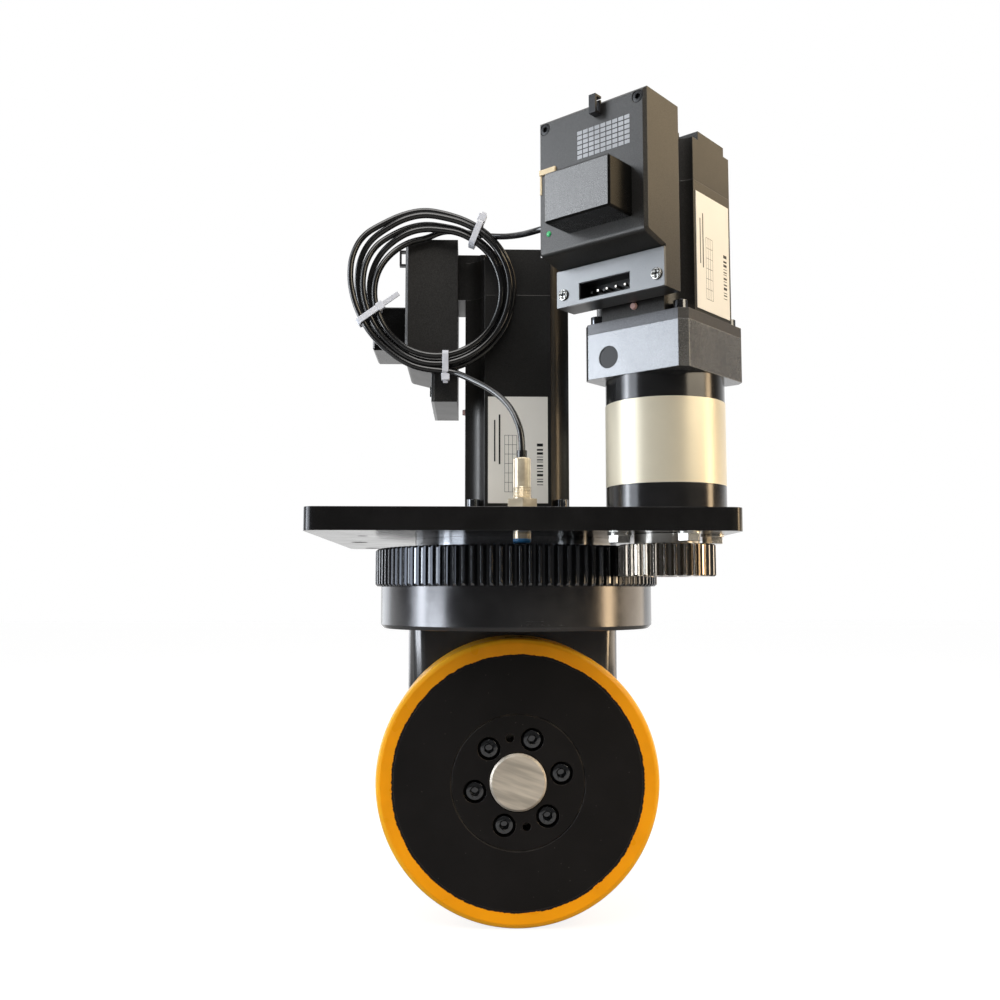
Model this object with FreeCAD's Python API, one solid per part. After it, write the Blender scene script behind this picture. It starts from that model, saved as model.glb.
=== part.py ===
import FreeCAD, Part
import math
import os
from FreeCAD import Vector, Rotation, Placement

# Steered drive wheel unit for a guided vehicle, in millimetres.
# The steering axis is Z. The origin lies where it meets the top face of the mounting plate.
# The wheel's front face looks along -Y, and the road is below.

# Fits and gaps
RUN_FIT = 0.05
SEAT_GAP = 0.3
PILOT_FIT = 0.05

# Mounting plate
PLATE_WIDTH = 278.0
PLATE_FRONT = 130.0
PLATE_BACK = 148.0
PLATE_THICK = 15.0
PLATE_CORNER = 9.0
MOUNT_HOLE_R = 6.5
MOUNT_EDGE_X = 20.0
MOUNT_EDGE_Y = 20.5
MOUNT_PITCH_Y = 105.0
SERVICE_HOLE_R = 3.4
SERVICE_HOLE_X = -107.5
SERVICE_HOLE_Y = -64.0

# Slewing ring with the steering teeth
GEAR_MODULE = 2.0
RING_TEETH = 102
PINION_TEETH = 30
TOOTH_BACKLASH = 0.35
ROOT_DEPTH = 1.25
TOOTH_CHAMFER = 1.6
RING_GAP = 7.0
RING_FACE = 27.0
PINION_FACE = 21.0
RACE_R = 75.0
RACE_GAP = 0.4
RACE_WALL = 13.0
RACE_STEP = 3.0
ROLLER_D = 6.0
ROLLER_FIT = 0.11
ROLLER_COUNT = 24
STEER_MESH_ANGLE = -43.1

# Turret below the ring gear
TURRET_R = 99.7
TURRET_HEIGHT = 30.0
TURRET_EDGE = 2.5
TURRET_FLOOR = 3.0
POCKET_GAP = 1.5

# Traction drive inside the turret and the leg
SPUR_MODULE = 2.0
SPUR_TEETH_IN = 27
SPUR_TEETH_OUT = 33
SPUR_FACE = 12.0
SPUR_CHAMFER = 0.6
BEVEL_MODULE = 2.25
BEVEL_TEETH_IN = 12
BEVEL_TEETH_OUT = 36
BEVEL_FACE = 13.0
BEVEL_BACKLASH = 0.40
BEVEL_HUB = 7.0
BEVEL_HUB_R = 24.0
BEVEL_SEAT = 4.5
PINION_HUB = 4.0
PINION_HUB_WALL = 3.0
REDUCER_R = 34.5
REDUCER_FLANGE_R = 56.0
REDUCER_FLANGE = 6.0
REDUCER_SPACE = 5.0
REDUCER_EDGE = 1.5
REDUCER_PILOT_R = 30.0
REDUCER_SCREWS = 6
OUTPUT_SHAFT_R = 8.0
OUTPUT_SHAFT_DEPTH = 12.0
MID_SHAFT_R = 7.5
MID_COLLAR = 2.0
MID_BUSH_R = 16.0
MID_BUSH_LENGTH = 12.0
MID_BUSH_GAP = 6.0

# Leg
LEG_LEFT = 82.5
LEG_RIGHT = 82.5
LEG_GAP = 3.0
LEG_BACK_WALL = 4.5
LEG_INSET = 0.7
LEG_TAPER_DROP = 51.0
LEG_FOOT_R = 62.0
LEG_EDGE = 6.0
LEG_NOSE_R = 40.0
LEG_NOSE_GAP = 4.0
BEVEL_ROOM = 2.5
COVER_R = 48.5
COVER_FLANGE = 6.0
COVER_EDGE = 1.0
COVER_BOSS_WALL = 7.5
COVER_CAP = 3.0
COVER_SCREWS = 8

# Wheel
WHEEL_R = 100.0
WHEEL_WIDTH = 70.0
WHEEL_GAP = 6.9
TYRE_THICK = 12.5
TYRE_EDGE = 3.5
RIM_WALL = 11.0
RIM_DRAFT = 3.0
WEB_THICK = 20.0
HUB_GROOVE_R = 47.0
HUB_GROOVE = 1.2
HUB_SCREWS = 6
HUB_SCREW_CIRCLE_R = 31.0
HUB_SCREW_ANGLE = 11.5
JACK_HOLE_ANGLE = 101.0
JACK_HOLE_R = 3.0

# Axle and its bearings
SPIGOT_R = 20.0
SPIGOT_PROUD = 2.0
SPIGOT_EDGE = 1.5
AXLE_FLANGE_R = 44.0
AXLE_FLANGE = 9.0
AXLE_R = 15.0
AXLE_GEAR_R = 12.0
AXLE_TAIL_R = 8.5
FRONT_BEARING_R = 27.5
FRONT_BEARING_WIDTH = 17.0
REAR_BEARING_R = 17.5
REAR_BEARING_WIDTH = 10.0
BEARING_END_GAP = 0.5
BEARING_RING = 0.28
BEARING_LIP = 1.5
ROLLER_PITCH = 1.35
SEAL_WIDTH = 6.5
SEAL_INSET = 1.0

# Steering gearbox
GEARBOX_R = 39.8
GEARBOX_LOW_RING = 15.8
GEARBOX_SLEEVE = 55.0
GEARBOX_TOP_RING = 16.5
GEARBOX_STEP = 0.3
GEARBOX_PILOT_R = 24.0
GEARBOX_NOSE_R = 21.5
STEER_SHAFT_R = 10.0
STEER_SHAFT_SEAT = 6.0
ADAPTER_HEIGHT = 30.2
ADAPTER_CHAMFER = 5.0
PLUG_R = 7.4
PLUG_OFFSET = 18.2
PLUG_DROP = 17.0
PLUG_DEPTH = 6.0
PLUG_SINK = 0.5

# Motors
FLANGE_SIZE = 79.0
FLANGE_THICK = 7.0
FLANGE_BOLT_OFFSET = 31.8
MOTOR_SIZE = 76.0
MOTOR_RECESS_R = 14.0
STEER_MOTOR_LENGTH = 94.0
TRACTION_MOTOR_LENGTH = 162.0
REAR_HEIGHT = 34.0
REAR_NOTCH = 21.0
REAR_NOTCH_DEPTH = 6.0
REAR_BOSS_R = 3.4
REAR_BOSS_INSET = 13.0
LABEL_WIDTH = 43.0
LABEL_HEIGHT = 77.0
LABEL_BASE = 10.0
LABEL_THICK = 0.4
STEER_MOTOR_ANGLE = -42.0
TRACTION_MOTOR_ANGLE = -90.0

# Drive electronics beside each motor, with heights from the top of the motor body
CASE_LEFT = -43.0
CASE_RIGHT = 39.0
CASE_GAP = 5.5
CASE_FACE = 81.6
CASE_TOP = 40.4
CASE_LEDGE = -49.4
CASE_EDGE = 2.0
LEDGE_EDGE = 3.5
PANEL_FACE = 62.3
PANEL_TOP = -54.6
PANEL_BOTTOM = -79.0
PANEL_THICK = 2.0
HOOD_LEFT = -20.0
HOOD_RIGHT = 28.7
HOOD_DEPTH = 24.0
HOOD_TOP = -7.0
HOOD_BOTTOM = -39.0
HOOD_EDGE = 1.2
SOCKET_LEFT = -25.0
SOCKET_RIGHT = 14.0
SOCKET_BOTTOM = -76.4
SOCKET_TOP = -65.3
SOCKET_DEPTH = 12.0
SOCKET_PINS = 4
PIN_SIZE = 1.6
PIN_LENGTH = 5.0
CLIP_CENTRE = 4.5
CLIP_TOP = 43.0
CLIP_HEIGHT = 12.0
CLIP_REACH = 6.5
CLIP_WIDTH = 5.0
CLIP_WALL = 1.4

# Home sensor
SENSOR_X = 0.3
SENSOR_Y = -91.0
SENSOR_R = 6.0
SENSOR_TOP = 35.5
SENSOR_GAP = 1.2
SENSOR_EDGE = 0.8
SENSOR_NUT_AF = 19.0
SENSOR_NUT = 6.5
SENSOR_WASHER_R = 11.5
SENSOR_WASHER = 1.5
BOOT_R = 3.4
BOOT_LENGTH = 5.0

# Sensor cable, in the order in which it runs, with its coil and ties
CABLE_D = 4.4
COIL_X = -61.5
COIL_Z = 161.8
COIL_R = 60.5
COIL_OPENING_X = -57.7
COIL_OPENING_Z = 157.6
COIL_OPENING_R = 42.5
COIL_THICK = 10.4
COIL_EDGE = 3.0
TIE_WIDTH = 4.8
TIE_THICK = 1.2
TIE_GAP = 0.4
TIE_HEAD = 5.5
TIE_HEAD_EXTRA = 0.6
TIE_ANGLES = (53.7, 202.0, -79.7)
GLAND_R = 5.5
GLAND_NUT = 5.4
GLAND_CONE = 3.6
GLAND_TIP_WALL = 0.6
GLAND_REACH = 58.0
GLAND_HEIGHT = -20.2
LEAD_SENSOR = ((0.3, -91.0, 40.5), (0.3, -91.0, 50.0), (-2.4, -88.6, 60.5), (-6.6, -83.6, 70.0),
               (-13.0, -76.8, 79.0), (-21.5, -69.0, 87.0), (-31.5, -60.5, 93.8), (-40.3, -53.2, 99.6),
               (-46.0, -48.4, 103.8))
LEAD_DRIVER = ((-46.0, -47.0, 207.5), (-34.0, -46.4, 206.6), (-22.5, -49.4, 204.0), (-12.5, -55.5, 200.8),
               (-4.0, -63.5, 197.8), (2.5, -73.0, 195.2), (7.3, -83.0, 193.0), (12.24, -92.48, 191.3),
               (18.93, -98.5, 191.3))

# Fasteners
RACE_SCREWS = 8
RACE_SCREW_R = 3.0
RACE_SCREW_HEAD_R = 5.0
RACE_SCREW_HEAD = 6.0
RACE_SCREW_SINK = 7.0
RACE_SCREW_BITE = 10.0
RACE_SCREW_ANGLE = 22.5
GEAR_SCREWS = 12
GEAR_SCREW_R = 3.0
GEAR_SCREW_HEAD_R = 5.0
GEAR_SCREW_HEAD = 6.0
GEAR_SCREW_BITE = 10.0
LEG_SCREW_R = 4.0
LEG_SCREW_HEAD_R = 6.5
LEG_SCREW_HEAD = 8.0
LEG_SCREW_BITE = 16.0
LEG_SCREW_INSET = 10.0
LEG_SCREW_SIDE = 14.0
LEG_SCREW_BACK_X = 53.0
SMALL_SCREW_R = 1.5
SMALL_SCREW_HEAD_R = 2.6
SMALL_SCREW_HEAD = 3.0
SMALL_SCREW_BITE = 8.0
HUB_SCREW_R = 4.0
HUB_SCREW_HEAD_R = 6.4
HUB_SCREW_HEAD = 8.0
HUB_SCREW_SINK = 9.5
HUB_SCREW_KEY = 6.0
HUB_SCREW_END = 1.0
HUB_COUNTERBORE_R = 8.2
GEARBOX_BOLT_CIRCLE_R = 33.5
GEARBOX_BOLT_ANGLE = 14.0
GEARBOX_BOLT_R = 4.0
GEARBOX_BOLT_AF = 13.0
GEARBOX_BOLT_HEAD = 4.6
GEARBOX_BOLT_BITE = 10.0
WASHER_R = 7.8
WASHER_THICK = 1.4
RETAINER_R = 14.0
RETAINER_SINK = 4.2
RETAINER_HEAD = 2.4
FLANGE_BOLT_R = 2.5
FLANGE_BOLT_HEAD_R = 4.6
FLANGE_BOLT_HEAD = 6.0
CASE_SCREW_INSET = 5.5
CASE_SCREW_R = 4.0
CASE_SCREW_SINK = 1.0
CASE_SCREW_HEAD = 2.0
PANEL_SCREW_R = 3.8
PANEL_SCREW_HEAD = 1.2


def bevel_heel(teeth, mate):
    """Distance along a bevel gear's axis from the apex to its heel."""
    return BEVEL_MODULE * mate / 2.0


# Worked out from the sizes above
PLATE_BOTTOM = -PLATE_THICK
RING_TOP = PLATE_BOTTOM - RING_GAP
RING_BOTTOM = RING_TOP - RING_FACE
RACE_BOTTOM = RING_BOTTOM + RACE_STEP
ROLLER_CIRCLE_R = RACE_R + RACE_GAP / 2.0
ROLLER_GROOVE = ROLLER_D / math.sqrt(2.0) + ROLLER_FIT
ROLLER_Z = (RING_TOP + RING_BOTTOM) / 2.0
RING_ROOT_R = GEAR_MODULE * (RING_TEETH / 2.0 - ROOT_DEPTH)
GEAR_SCREW_CIRCLE_R = (ROLLER_CIRCLE_R + ROLLER_GROOVE + RING_ROOT_R) / 2.0
TURRET_BOTTOM = RING_BOTTOM - TURRET_HEIGHT
POCKET_BOTTOM = TURRET_BOTTOM + TURRET_FLOOR
SPUR_BOTTOM = POCKET_BOTTOM + POCKET_GAP
SPUR_TOP = SPUR_BOTTOM + SPUR_FACE
POCKET_TOP = SPUR_TOP + POCKET_GAP
REDUCER_BOTTOM = SPUR_TOP + REDUCER_SPACE
MESH_DISTANCE = GEAR_MODULE * (RING_TEETH + PINION_TEETH) / 2.0
PINION_X = MESH_DISTANCE * math.cos(math.radians(STEER_MESH_ANGLE))
PINION_Y = MESH_DISTANCE * math.sin(math.radians(STEER_MESH_ANGLE))
MID_SHAFT_Y = SPUR_MODULE * (SPUR_TEETH_IN + SPUR_TEETH_OUT) / 2.0
AXLE_Z = TURRET_BOTTOM - WHEEL_GAP - WHEEL_R
WHEEL_FRONT = -WHEEL_WIDTH / 2.0
WHEEL_BACK = WHEEL_WIDTH / 2.0
WEB_BACK = WHEEL_FRONT + WEB_THICK
RIM_R = WHEEL_R - TYRE_THICK
AXLE_SHOULDER = WEB_BACK + AXLE_FLANGE
LEG_NOSE_END = AXLE_SHOULDER + LEG_NOSE_GAP
SEAL_Y = LEG_NOSE_END + SEAL_INSET
FRONT_BEARING_Y = SEAL_Y + SEAL_WIDTH + BEARING_END_GAP
LEG_FRONT = WHEEL_BACK + LEG_GAP
GEAR_HEEL_Y = MID_SHAFT_Y + bevel_heel(BEVEL_TEETH_OUT, BEVEL_TEETH_IN)
GEAR_BACK_Y = GEAR_HEEL_Y + BEVEL_HUB
LEG_BACK = GEAR_BACK_Y + LEG_BACK_WALL
LEG_CIRCLE_R = TURRET_R - LEG_INSET
REAR_BEARING_Y = LEG_BACK + BEARING_END_GAP
PINION_BACK_Z = AXLE_Z + bevel_heel(BEVEL_TEETH_IN, BEVEL_TEETH_OUT) + PINION_HUB
LOW_BUSH_Z = PINION_BACK_Z + MID_BUSH_GAP
TOP_BUSH_Z = TURRET_BOTTOM - MID_BUSH_GAP - MID_BUSH_LENGTH
COVER_SCREW_CIRCLE_R = COVER_R - SMALL_SCREW_HEAD_R - SEAT_GAP
GEARBOX_TOP = GEARBOX_LOW_RING + GEARBOX_SLEEVE + GEARBOX_TOP_RING
STEER_MOTOR_BASE = GEARBOX_TOP + ADAPTER_HEIGHT
CASE_INNER = MOTOR_SIZE / 2.0 + CASE_GAP
COIL_Y = -CASE_RIGHT - SEAT_GAP - TIE_THICK - TIE_GAP - COIL_THICK / 2.0


def disc(radius, low, high, x=0.0, y=0.0):
    """Upright cylinder between two heights."""
    return Part.makeCylinder(radius, high - low, Vector(x, y, low))


def pipe(outer, inner, low, high, x=0.0, y=0.0):
    """Upright tube between two heights."""
    return disc(outer, low, high, x, y).cut(disc(inner, low - 1.0, high + 1.0, x, y))


def drum(radius, front, back, z=AXLE_Z, x=0.0):
    """Cylinder along Y between two depths."""
    return Part.makeCylinder(radius, back - front, Vector(x, front, z), Vector(0, 1, 0))


def block(x0, x1, y0, y1, z0, z1):
    """Upright box between two corners."""
    return Part.makeBox(x1 - x0, y1 - y0, z1 - z0, Vector(x0, y0, z0))


def polygon(points):
    """Closed wire through a list of vectors."""
    return Part.makePolygon(list(points) + [points[0]])


def turned(outline, centre=Vector(0, 0, 0), axis=Vector(0, 0, 1)):
    """Solid turned from (radius, height) corners about an axis."""
    corners = [centre + Vector(1, 0, 0) * r + axis * h for r, h in outline]
    return Part.Face(polygon(corners)).revolve(centre, axis, 360.0)


def vertical_edges(shape, height):
    """Upright straight edges of one height."""
    found = []
    for edge in shape.Edges:
        a, b = edge.Vertexes[0].Point, edge.Vertexes[-1].Point
        upright = abs(a.x - b.x) < 0.01 and abs(a.y - b.y) < 0.01
        if upright and abs(abs(a.z - b.z) - height) < 0.01:
            found.append(edge)
    return found


def edges_where(shape, test):
    """Edges whose centre passes a test."""
    return [edge for edge in shape.Edges if test(edge.CenterOfMass)]


def around(shape, count, centre=Vector(0, 0, 0), axis=Vector(0, 0, 1), start=0.0):
    """Copies of a shape at equal angles."""
    copies = []
    for index in range(count):
        copy = shape.copy()
        copy.rotate(centre, axis, start + 360.0 * index / count)
        copies.append(copy)
    return copies


def cut_all(body, tools):
    """Body with every tool cut from it."""
    for tool in tools:
        body = body.cut(tool)
    return body


def hexagon(across_flats, low, high, x=0.0, y=0.0, turn=0.0):
    """Upright hexagonal prism."""
    radius = across_flats / math.sqrt(3.0)
    corners = []
    for index in range(6):
        angle = math.radians(60.0 * index + turn)
        corners.append(Vector(x + radius * math.cos(angle), y + radius * math.sin(angle), low))
    return Part.Face(polygon(corners)).extrude(Vector(0, 0, high - low))


def socket_screw(head_r, head, shank_r, seat, length, gap, x=0.0, y=0.0, mouth=0.0):
    """Socket screw pointing down from its seat, or with a gap, the room that it needs."""
    top = seat + head + mouth
    shape = disc(head_r + gap, seat, top, x, y)
    return shape.fuse(disc(shank_r + gap, seat - length - gap, seat, x, y))


def involute(angle):
    """Involute function."""
    return math.tan(angle) - angle


def tooth_outline(pitch, module, half, steps):
    """Radius and half angle pairs round one tooth, from its left root to its right root."""
    pressure = math.radians(20.0)
    base = pitch * math.cos(pressure)
    tip = pitch + module
    root = pitch - ROOT_DEPTH * module
    lowest = max(base, root + 0.15 * module)
    flank = []
    for index in range(steps + 1):
        radius = lowest + (tip - lowest) * index / steps
        swing = half + involute(pressure) - involute(math.acos(min(1.0, base / radius)))
        flank.append((radius, swing))
    flank.insert(0, (root, flank[0][1] + 0.12 * module / root))
    left = [(radius, -swing) for radius, swing in flank]
    right = [(radius, swing) for radius, swing in reversed(flank)]
    return left + right


def spur_gear(teeth, module, low, high, bore, steps, chamfer, first=0.0):
    """Straight toothed gear about Z, with a tooth centred on the first angle in degrees."""
    pitch = module * teeth / 2.0
    half = math.pi / (2.0 * teeth) - TOOTH_BACKLASH / (4.0 * pitch)
    outline = tooth_outline(pitch, module, half, steps)
    corners = []
    for tooth in range(teeth):
        middle = math.radians(first) + 2.0 * math.pi * tooth / teeth
        for radius, swing in outline:
            corners.append(Vector(radius * math.cos(middle + swing), radius * math.sin(middle + swing), low))
    gear = Part.Face(polygon(corners)).extrude(Vector(0, 0, high - low))
    tip = pitch + module
    blank = turned(((bore, low), (tip - chamfer, low), (tip + 0.1, low + chamfer),
                    (tip + 0.1, high - chamfer), (tip - chamfer, high), (bore, high)))
    return gear.common(blank)


def bevel_gear(teeth, mate, bore, hub, hub_r, first, steps):
    """Bevel gear about Z, apex at the origin and heel on top, its teeth tapering to the apex."""
    cone = math.atan2(teeth, mate)
    reach = BEVEL_MODULE * math.hypot(teeth, mate) / 2.0
    pitch = reach * math.tan(cone)
    apex = reach / math.cos(cone)
    heel = bevel_heel(teeth, mate)
    toe = (reach - BEVEL_FACE) / reach
    half = math.pi / (2.0 * teeth / math.cos(cone)) - BEVEL_BACKLASH / (4.0 * pitch)
    outline = tooth_outline(pitch, BEVEL_MODULE, half, steps)
    rays = []
    for tooth in range(teeth):
        middle = math.radians(first) + 2.0 * math.pi * tooth / teeth
        for radius, swing in outline:
            turn = middle + swing / math.cos(cone)
            out = radius * math.cos(cone) / (apex - radius * math.sin(cone))
            rays.append(Vector(out * math.cos(turn), out * math.sin(turn), 1.0))
    wires = [polygon([ray * level for ray in rays]) for level in (heel * toe * 0.7, heel * 1.25)]
    teeth_cone = Part.makeLoft(wires, True, True)
    root = pitch - ROOT_DEPTH * BEVEL_MODULE * 1.35
    tip = pitch + BEVEL_MODULE * 1.2
    root_point = (root * math.cos(cone), apex - root * math.sin(cone))
    tip_point = (tip * math.cos(cone), apex - tip * math.sin(cone))
    blank = turned(((bore, heel + hub), (hub_r, heel + hub), root_point, tip_point,
                    (tip_point[0] * toe, tip_point[1] * toe), (bore, root_point[1] * toe - 0.3)))
    boss = turned(((bore, heel), (hub_r, heel), (hub_r, heel + hub), (bore, heel + hub)))
    return teeth_cone.common(blank).fuse(boss).removeSplitter()


def tube_along(points, diameter, name):
    """Round tube of straight runs joined by tangent arcs, as large as the runs allow."""
    vectors = [Vector(*point) for point in points]
    edges = []
    radii = []
    start = vectors[0]
    for before, corner, after in zip(vectors, vectors[1:], vectors[2:]):
        into = corner - before
        out = after - corner
        setback = 0.45 * min(into.Length, out.Length)
        into.normalize()
        out.normalize()
        half_turn = into.getAngle(out) / 2.0
        radius = setback / math.tan(half_turn)
        inward = out - into
        inward.normalize()
        middle = corner + inward * (radius / math.cos(half_turn) - radius)
        last = corner + out * setback
        edges.append(Part.LineSegment(start, corner - into * setback).toShape())
        edges.append(Part.Arc(corner - into * setback, middle, last).toShape())
        radii.append(radius)
        start = last
    edges.append(Part.LineSegment(start, vectors[-1]).toShape())
    path = Part.Wire(edges)
    section = Part.Wire(Part.makeCircle(diameter / 2.0, vectors[0], vectors[1] - vectors[0]))
    tube = path.makePipeShell([section], True, False)
    ratio = tube.Volume / (math.pi * diameter ** 2 / 4.0 * path.Length)
    listed = ", ".join("%.0f" % radius for radius in radii)
    print("%s length %.1f, volume ratio %.4f, radii %s" % (name, path.Length, ratio, listed))
    return tube


def save(name, *shapes):
    """Write one sub-part, as one solid or a group of solids."""
    solids = []
    for shape in shapes:
        solids.extend(shape.Solids)
    group = solids[0] if len(solids) == 1 else Part.makeCompound(solids)
    group.exportStep(os.path.join("parts", name + ".step"))


# Plate

def mounting_plate():
    """Square plate with the bores for both drives, the sensor and the bolts."""
    half = PLATE_WIDTH / 2.0
    plate = block(-half, half, -PLATE_FRONT, PLATE_BACK, PLATE_BOTTOM, 0.0)
    plate = plate.makeFillet(PLATE_CORNER, vertical_edges(plate, PLATE_THICK))
    low = PLATE_BOTTOM - 1.0
    cuts = [disc(REDUCER_PILOT_R + PILOT_FIT, low, 1.0)]
    cuts.append(disc(GEARBOX_PILOT_R + PILOT_FIT, low, 1.0, PINION_X, PINION_Y))
    cuts.append(disc(SENSOR_R + SEAT_GAP, low, 1.0, SENSOR_X, SENSOR_Y))
    cuts.append(disc(SERVICE_HOLE_R, low, 1.0, SERVICE_HOLE_X, SERVICE_HOLE_Y))
    for x in (MOUNT_EDGE_X - half, half - MOUNT_EDGE_X):
        for y in (PLATE_BACK - MOUNT_EDGE_Y - MOUNT_PITCH_Y, PLATE_BACK - MOUNT_EDGE_Y):
            cuts.append(disc(MOUNT_HOLE_R, low, 1.0, x, y))
    save("mounting_plate", cut_all(plate, cuts + race_screws(SEAT_GAP) + gearbox_bolts(SEAT_GAP)))


# Slewing ring and turret

def race_screws(gap):
    """Socket screws that hold the inner race under the plate."""
    middle = RACE_R - RACE_WALL / 2.0
    length = PLATE_THICK - RACE_SCREW_SINK + RACE_SCREW_BITE
    mouth = RACE_SCREW_SINK - RACE_SCREW_HEAD + 1.0 if gap else 0.0
    screw = socket_screw(RACE_SCREW_HEAD_R, RACE_SCREW_HEAD, RACE_SCREW_R, -RACE_SCREW_SINK, length, gap,
                         middle, 0.0, mouth)
    return around(screw, RACE_SCREWS, start=RACE_SCREW_ANGLE)


def slewing_ring():
    """Crossed roller ring: fixed inner race, rollers, and the outer race with the steering teeth."""
    inner_r = RACE_R - RACE_WALL
    mouth = ROLLER_GROOVE - RACE_GAP / 2.0
    inner = turned(((inner_r, RACE_BOTTOM), (RACE_R, RACE_BOTTOM), (RACE_R, ROLLER_Z - mouth),
                    (ROLLER_CIRCLE_R - ROLLER_GROOVE, ROLLER_Z), (RACE_R, ROLLER_Z + mouth),
                    (RACE_R, PLATE_BOTTOM), (inner_r, PLATE_BOTTOM)))
    save("slewing_inner_race", cut_all(inner, race_screws(SEAT_GAP)))
    save("slewing_race_screws", *race_screws(0.0))

    length = ROLLER_D - 2.0 * ROLLER_FIT
    roller = Part.makeCylinder(ROLLER_D / 2.0, length, Vector(0, 0, -length / 2.0))
    rollers = []
    for index in range(ROLLER_COUNT):
        copy = roller.copy()
        copy.rotate(Vector(0, 0, 0), Vector(0, 1, 0), 45.0 if index % 2 else -45.0)
        copy.translate(Vector(ROLLER_CIRCLE_R, 0, ROLLER_Z))
        copy.rotate(Vector(0, 0, 0), Vector(0, 0, 1), 360.0 * index / ROLLER_COUNT)
        rollers.append(copy)
    save("slewing_rollers", *rollers)

    bore = RACE_R + RACE_GAP
    space_at_pinion = STEER_MESH_ANGLE + 180.0 / RING_TEETH
    ring = spur_gear(RING_TEETH, GEAR_MODULE, RING_BOTTOM, RING_TOP, bore, 2, TOOTH_CHAMFER, space_at_pinion)
    groove = turned(((bore - 1.0, ROLLER_Z - mouth - 1.0), (ROLLER_CIRCLE_R + ROLLER_GROOVE, ROLLER_Z),
                     (bore - 1.0, ROLLER_Z + mouth + 1.0)))
    save("ring_gear", cut_all(ring, [groove] + gear_screws(SEAT_GAP)))
    save("ring_gear_screws", *gear_screws(0.0))


def gear_screws(gap):
    """Socket screws that clamp the ring gear on the turret."""
    seat = RING_TOP - GEAR_SCREW_HEAD - 0.5
    length = seat - RING_BOTTOM + GEAR_SCREW_BITE
    mouth = 1.5 if gap else 0.0
    screw = socket_screw(GEAR_SCREW_HEAD_R, GEAR_SCREW_HEAD, GEAR_SCREW_R, seat, length, gap,
                         GEAR_SCREW_CIRCLE_R, 0.0, mouth)
    return around(screw, GEAR_SCREWS, start=180.0 / GEAR_SCREWS)


def leg_screws(gap):
    """Socket screws that clamp the leg under the turret."""
    spots = [(-LEG_LEFT + LEG_SCREW_SIDE, LEG_FRONT + LEG_SCREW_INSET)]
    spots.append((LEG_RIGHT - LEG_SCREW_SIDE, LEG_FRONT + LEG_SCREW_INSET))
    spots.append((-LEG_SCREW_BACK_X, LEG_BACK - LEG_SCREW_INSET))
    spots.append((LEG_SCREW_BACK_X, LEG_BACK - LEG_SCREW_INSET))
    seat = RING_BOTTOM - LEG_SCREW_HEAD - 1.0
    length = seat - TURRET_BOTTOM + LEG_SCREW_BITE
    mouth = 2.0 if gap else 0.0
    return [socket_screw(LEG_SCREW_HEAD_R, LEG_SCREW_HEAD, LEG_SCREW_R, seat, length, gap, x, y, mouth)
            for x, y in spots]


def spur_tip(teeth):
    """Tip radius of a spur wheel of the traction stage."""
    return SPUR_MODULE * (teeth + 2) / 2.0


def turret_ring():
    """Round body under the ring gear, with the pocket of the spur stage."""
    body = turned(((0.0, TURRET_BOTTOM), (TURRET_R - TURRET_EDGE, TURRET_BOTTOM),
                   (TURRET_R, TURRET_BOTTOM + TURRET_EDGE), (TURRET_R, RING_BOTTOM), (0.0, RING_BOTTOM)))
    cuts = [disc(REDUCER_R + POCKET_GAP, POCKET_TOP - 1.0, RING_BOTTOM + 1.0)]
    cuts.append(disc(spur_tip(SPUR_TEETH_IN) + POCKET_GAP, POCKET_BOTTOM, POCKET_TOP))
    cuts.append(disc(spur_tip(SPUR_TEETH_OUT) + POCKET_GAP, POCKET_BOTTOM, POCKET_TOP, 0.0, MID_SHAFT_Y))
    cuts.append(disc(MID_BUSH_R, TURRET_BOTTOM - 1.0, POCKET_BOTTOM + 1.0, 0.0, MID_SHAFT_Y))
    save("turret_ring", cut_all(body, cuts + gear_screws(SEAT_GAP) + leg_screws(SEAT_GAP)))
    save("leg_screws", *leg_screws(0.0))


# Leg

def circle_arc(start, end):
    """Arc of the leg's plan circle between two of its points."""
    middle = start + end
    middle.normalize()
    return Part.Arc(start, middle * LEG_CIRCLE_R, end).toShape()


def leg_plan():
    """Plan of the leg: flat front and back, with sides that follow the turret's circle."""
    left_side = math.sqrt(LEG_CIRCLE_R ** 2 - LEG_LEFT ** 2)
    right_side = math.sqrt(LEG_CIRCLE_R ** 2 - LEG_RIGHT ** 2)
    back_half = math.sqrt(LEG_CIRCLE_R ** 2 - LEG_BACK ** 2)
    corners = [Vector(-LEG_LEFT, LEG_FRONT, 0), Vector(LEG_RIGHT, LEG_FRONT, 0),
               Vector(LEG_RIGHT, right_side, 0), Vector(back_half, LEG_BACK, 0),
               Vector(-back_half, LEG_BACK, 0), Vector(-LEG_LEFT, left_side, 0)]
    edges = []
    for index, corner in enumerate(corners):
        following = corners[(index + 1) % len(corners)]
        if index in (2, 4):
            edges.append(circle_arc(corner, following))
        else:
            edges.append(Part.LineSegment(corner, following).toShape())
    return Part.Face(Part.Wire(edges))


def tangent_point(x, z, side):
    """Where a line from a shoulder corner touches the round foot."""
    reach = math.hypot(x, z - AXLE_Z)
    angle = math.atan2(z - AXLE_Z, x) - side * math.acos(LEG_FOOT_R / reach)
    return Vector(LEG_FOOT_R * math.cos(angle), 0, AXLE_Z + LEG_FOOT_R * math.sin(angle))


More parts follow.
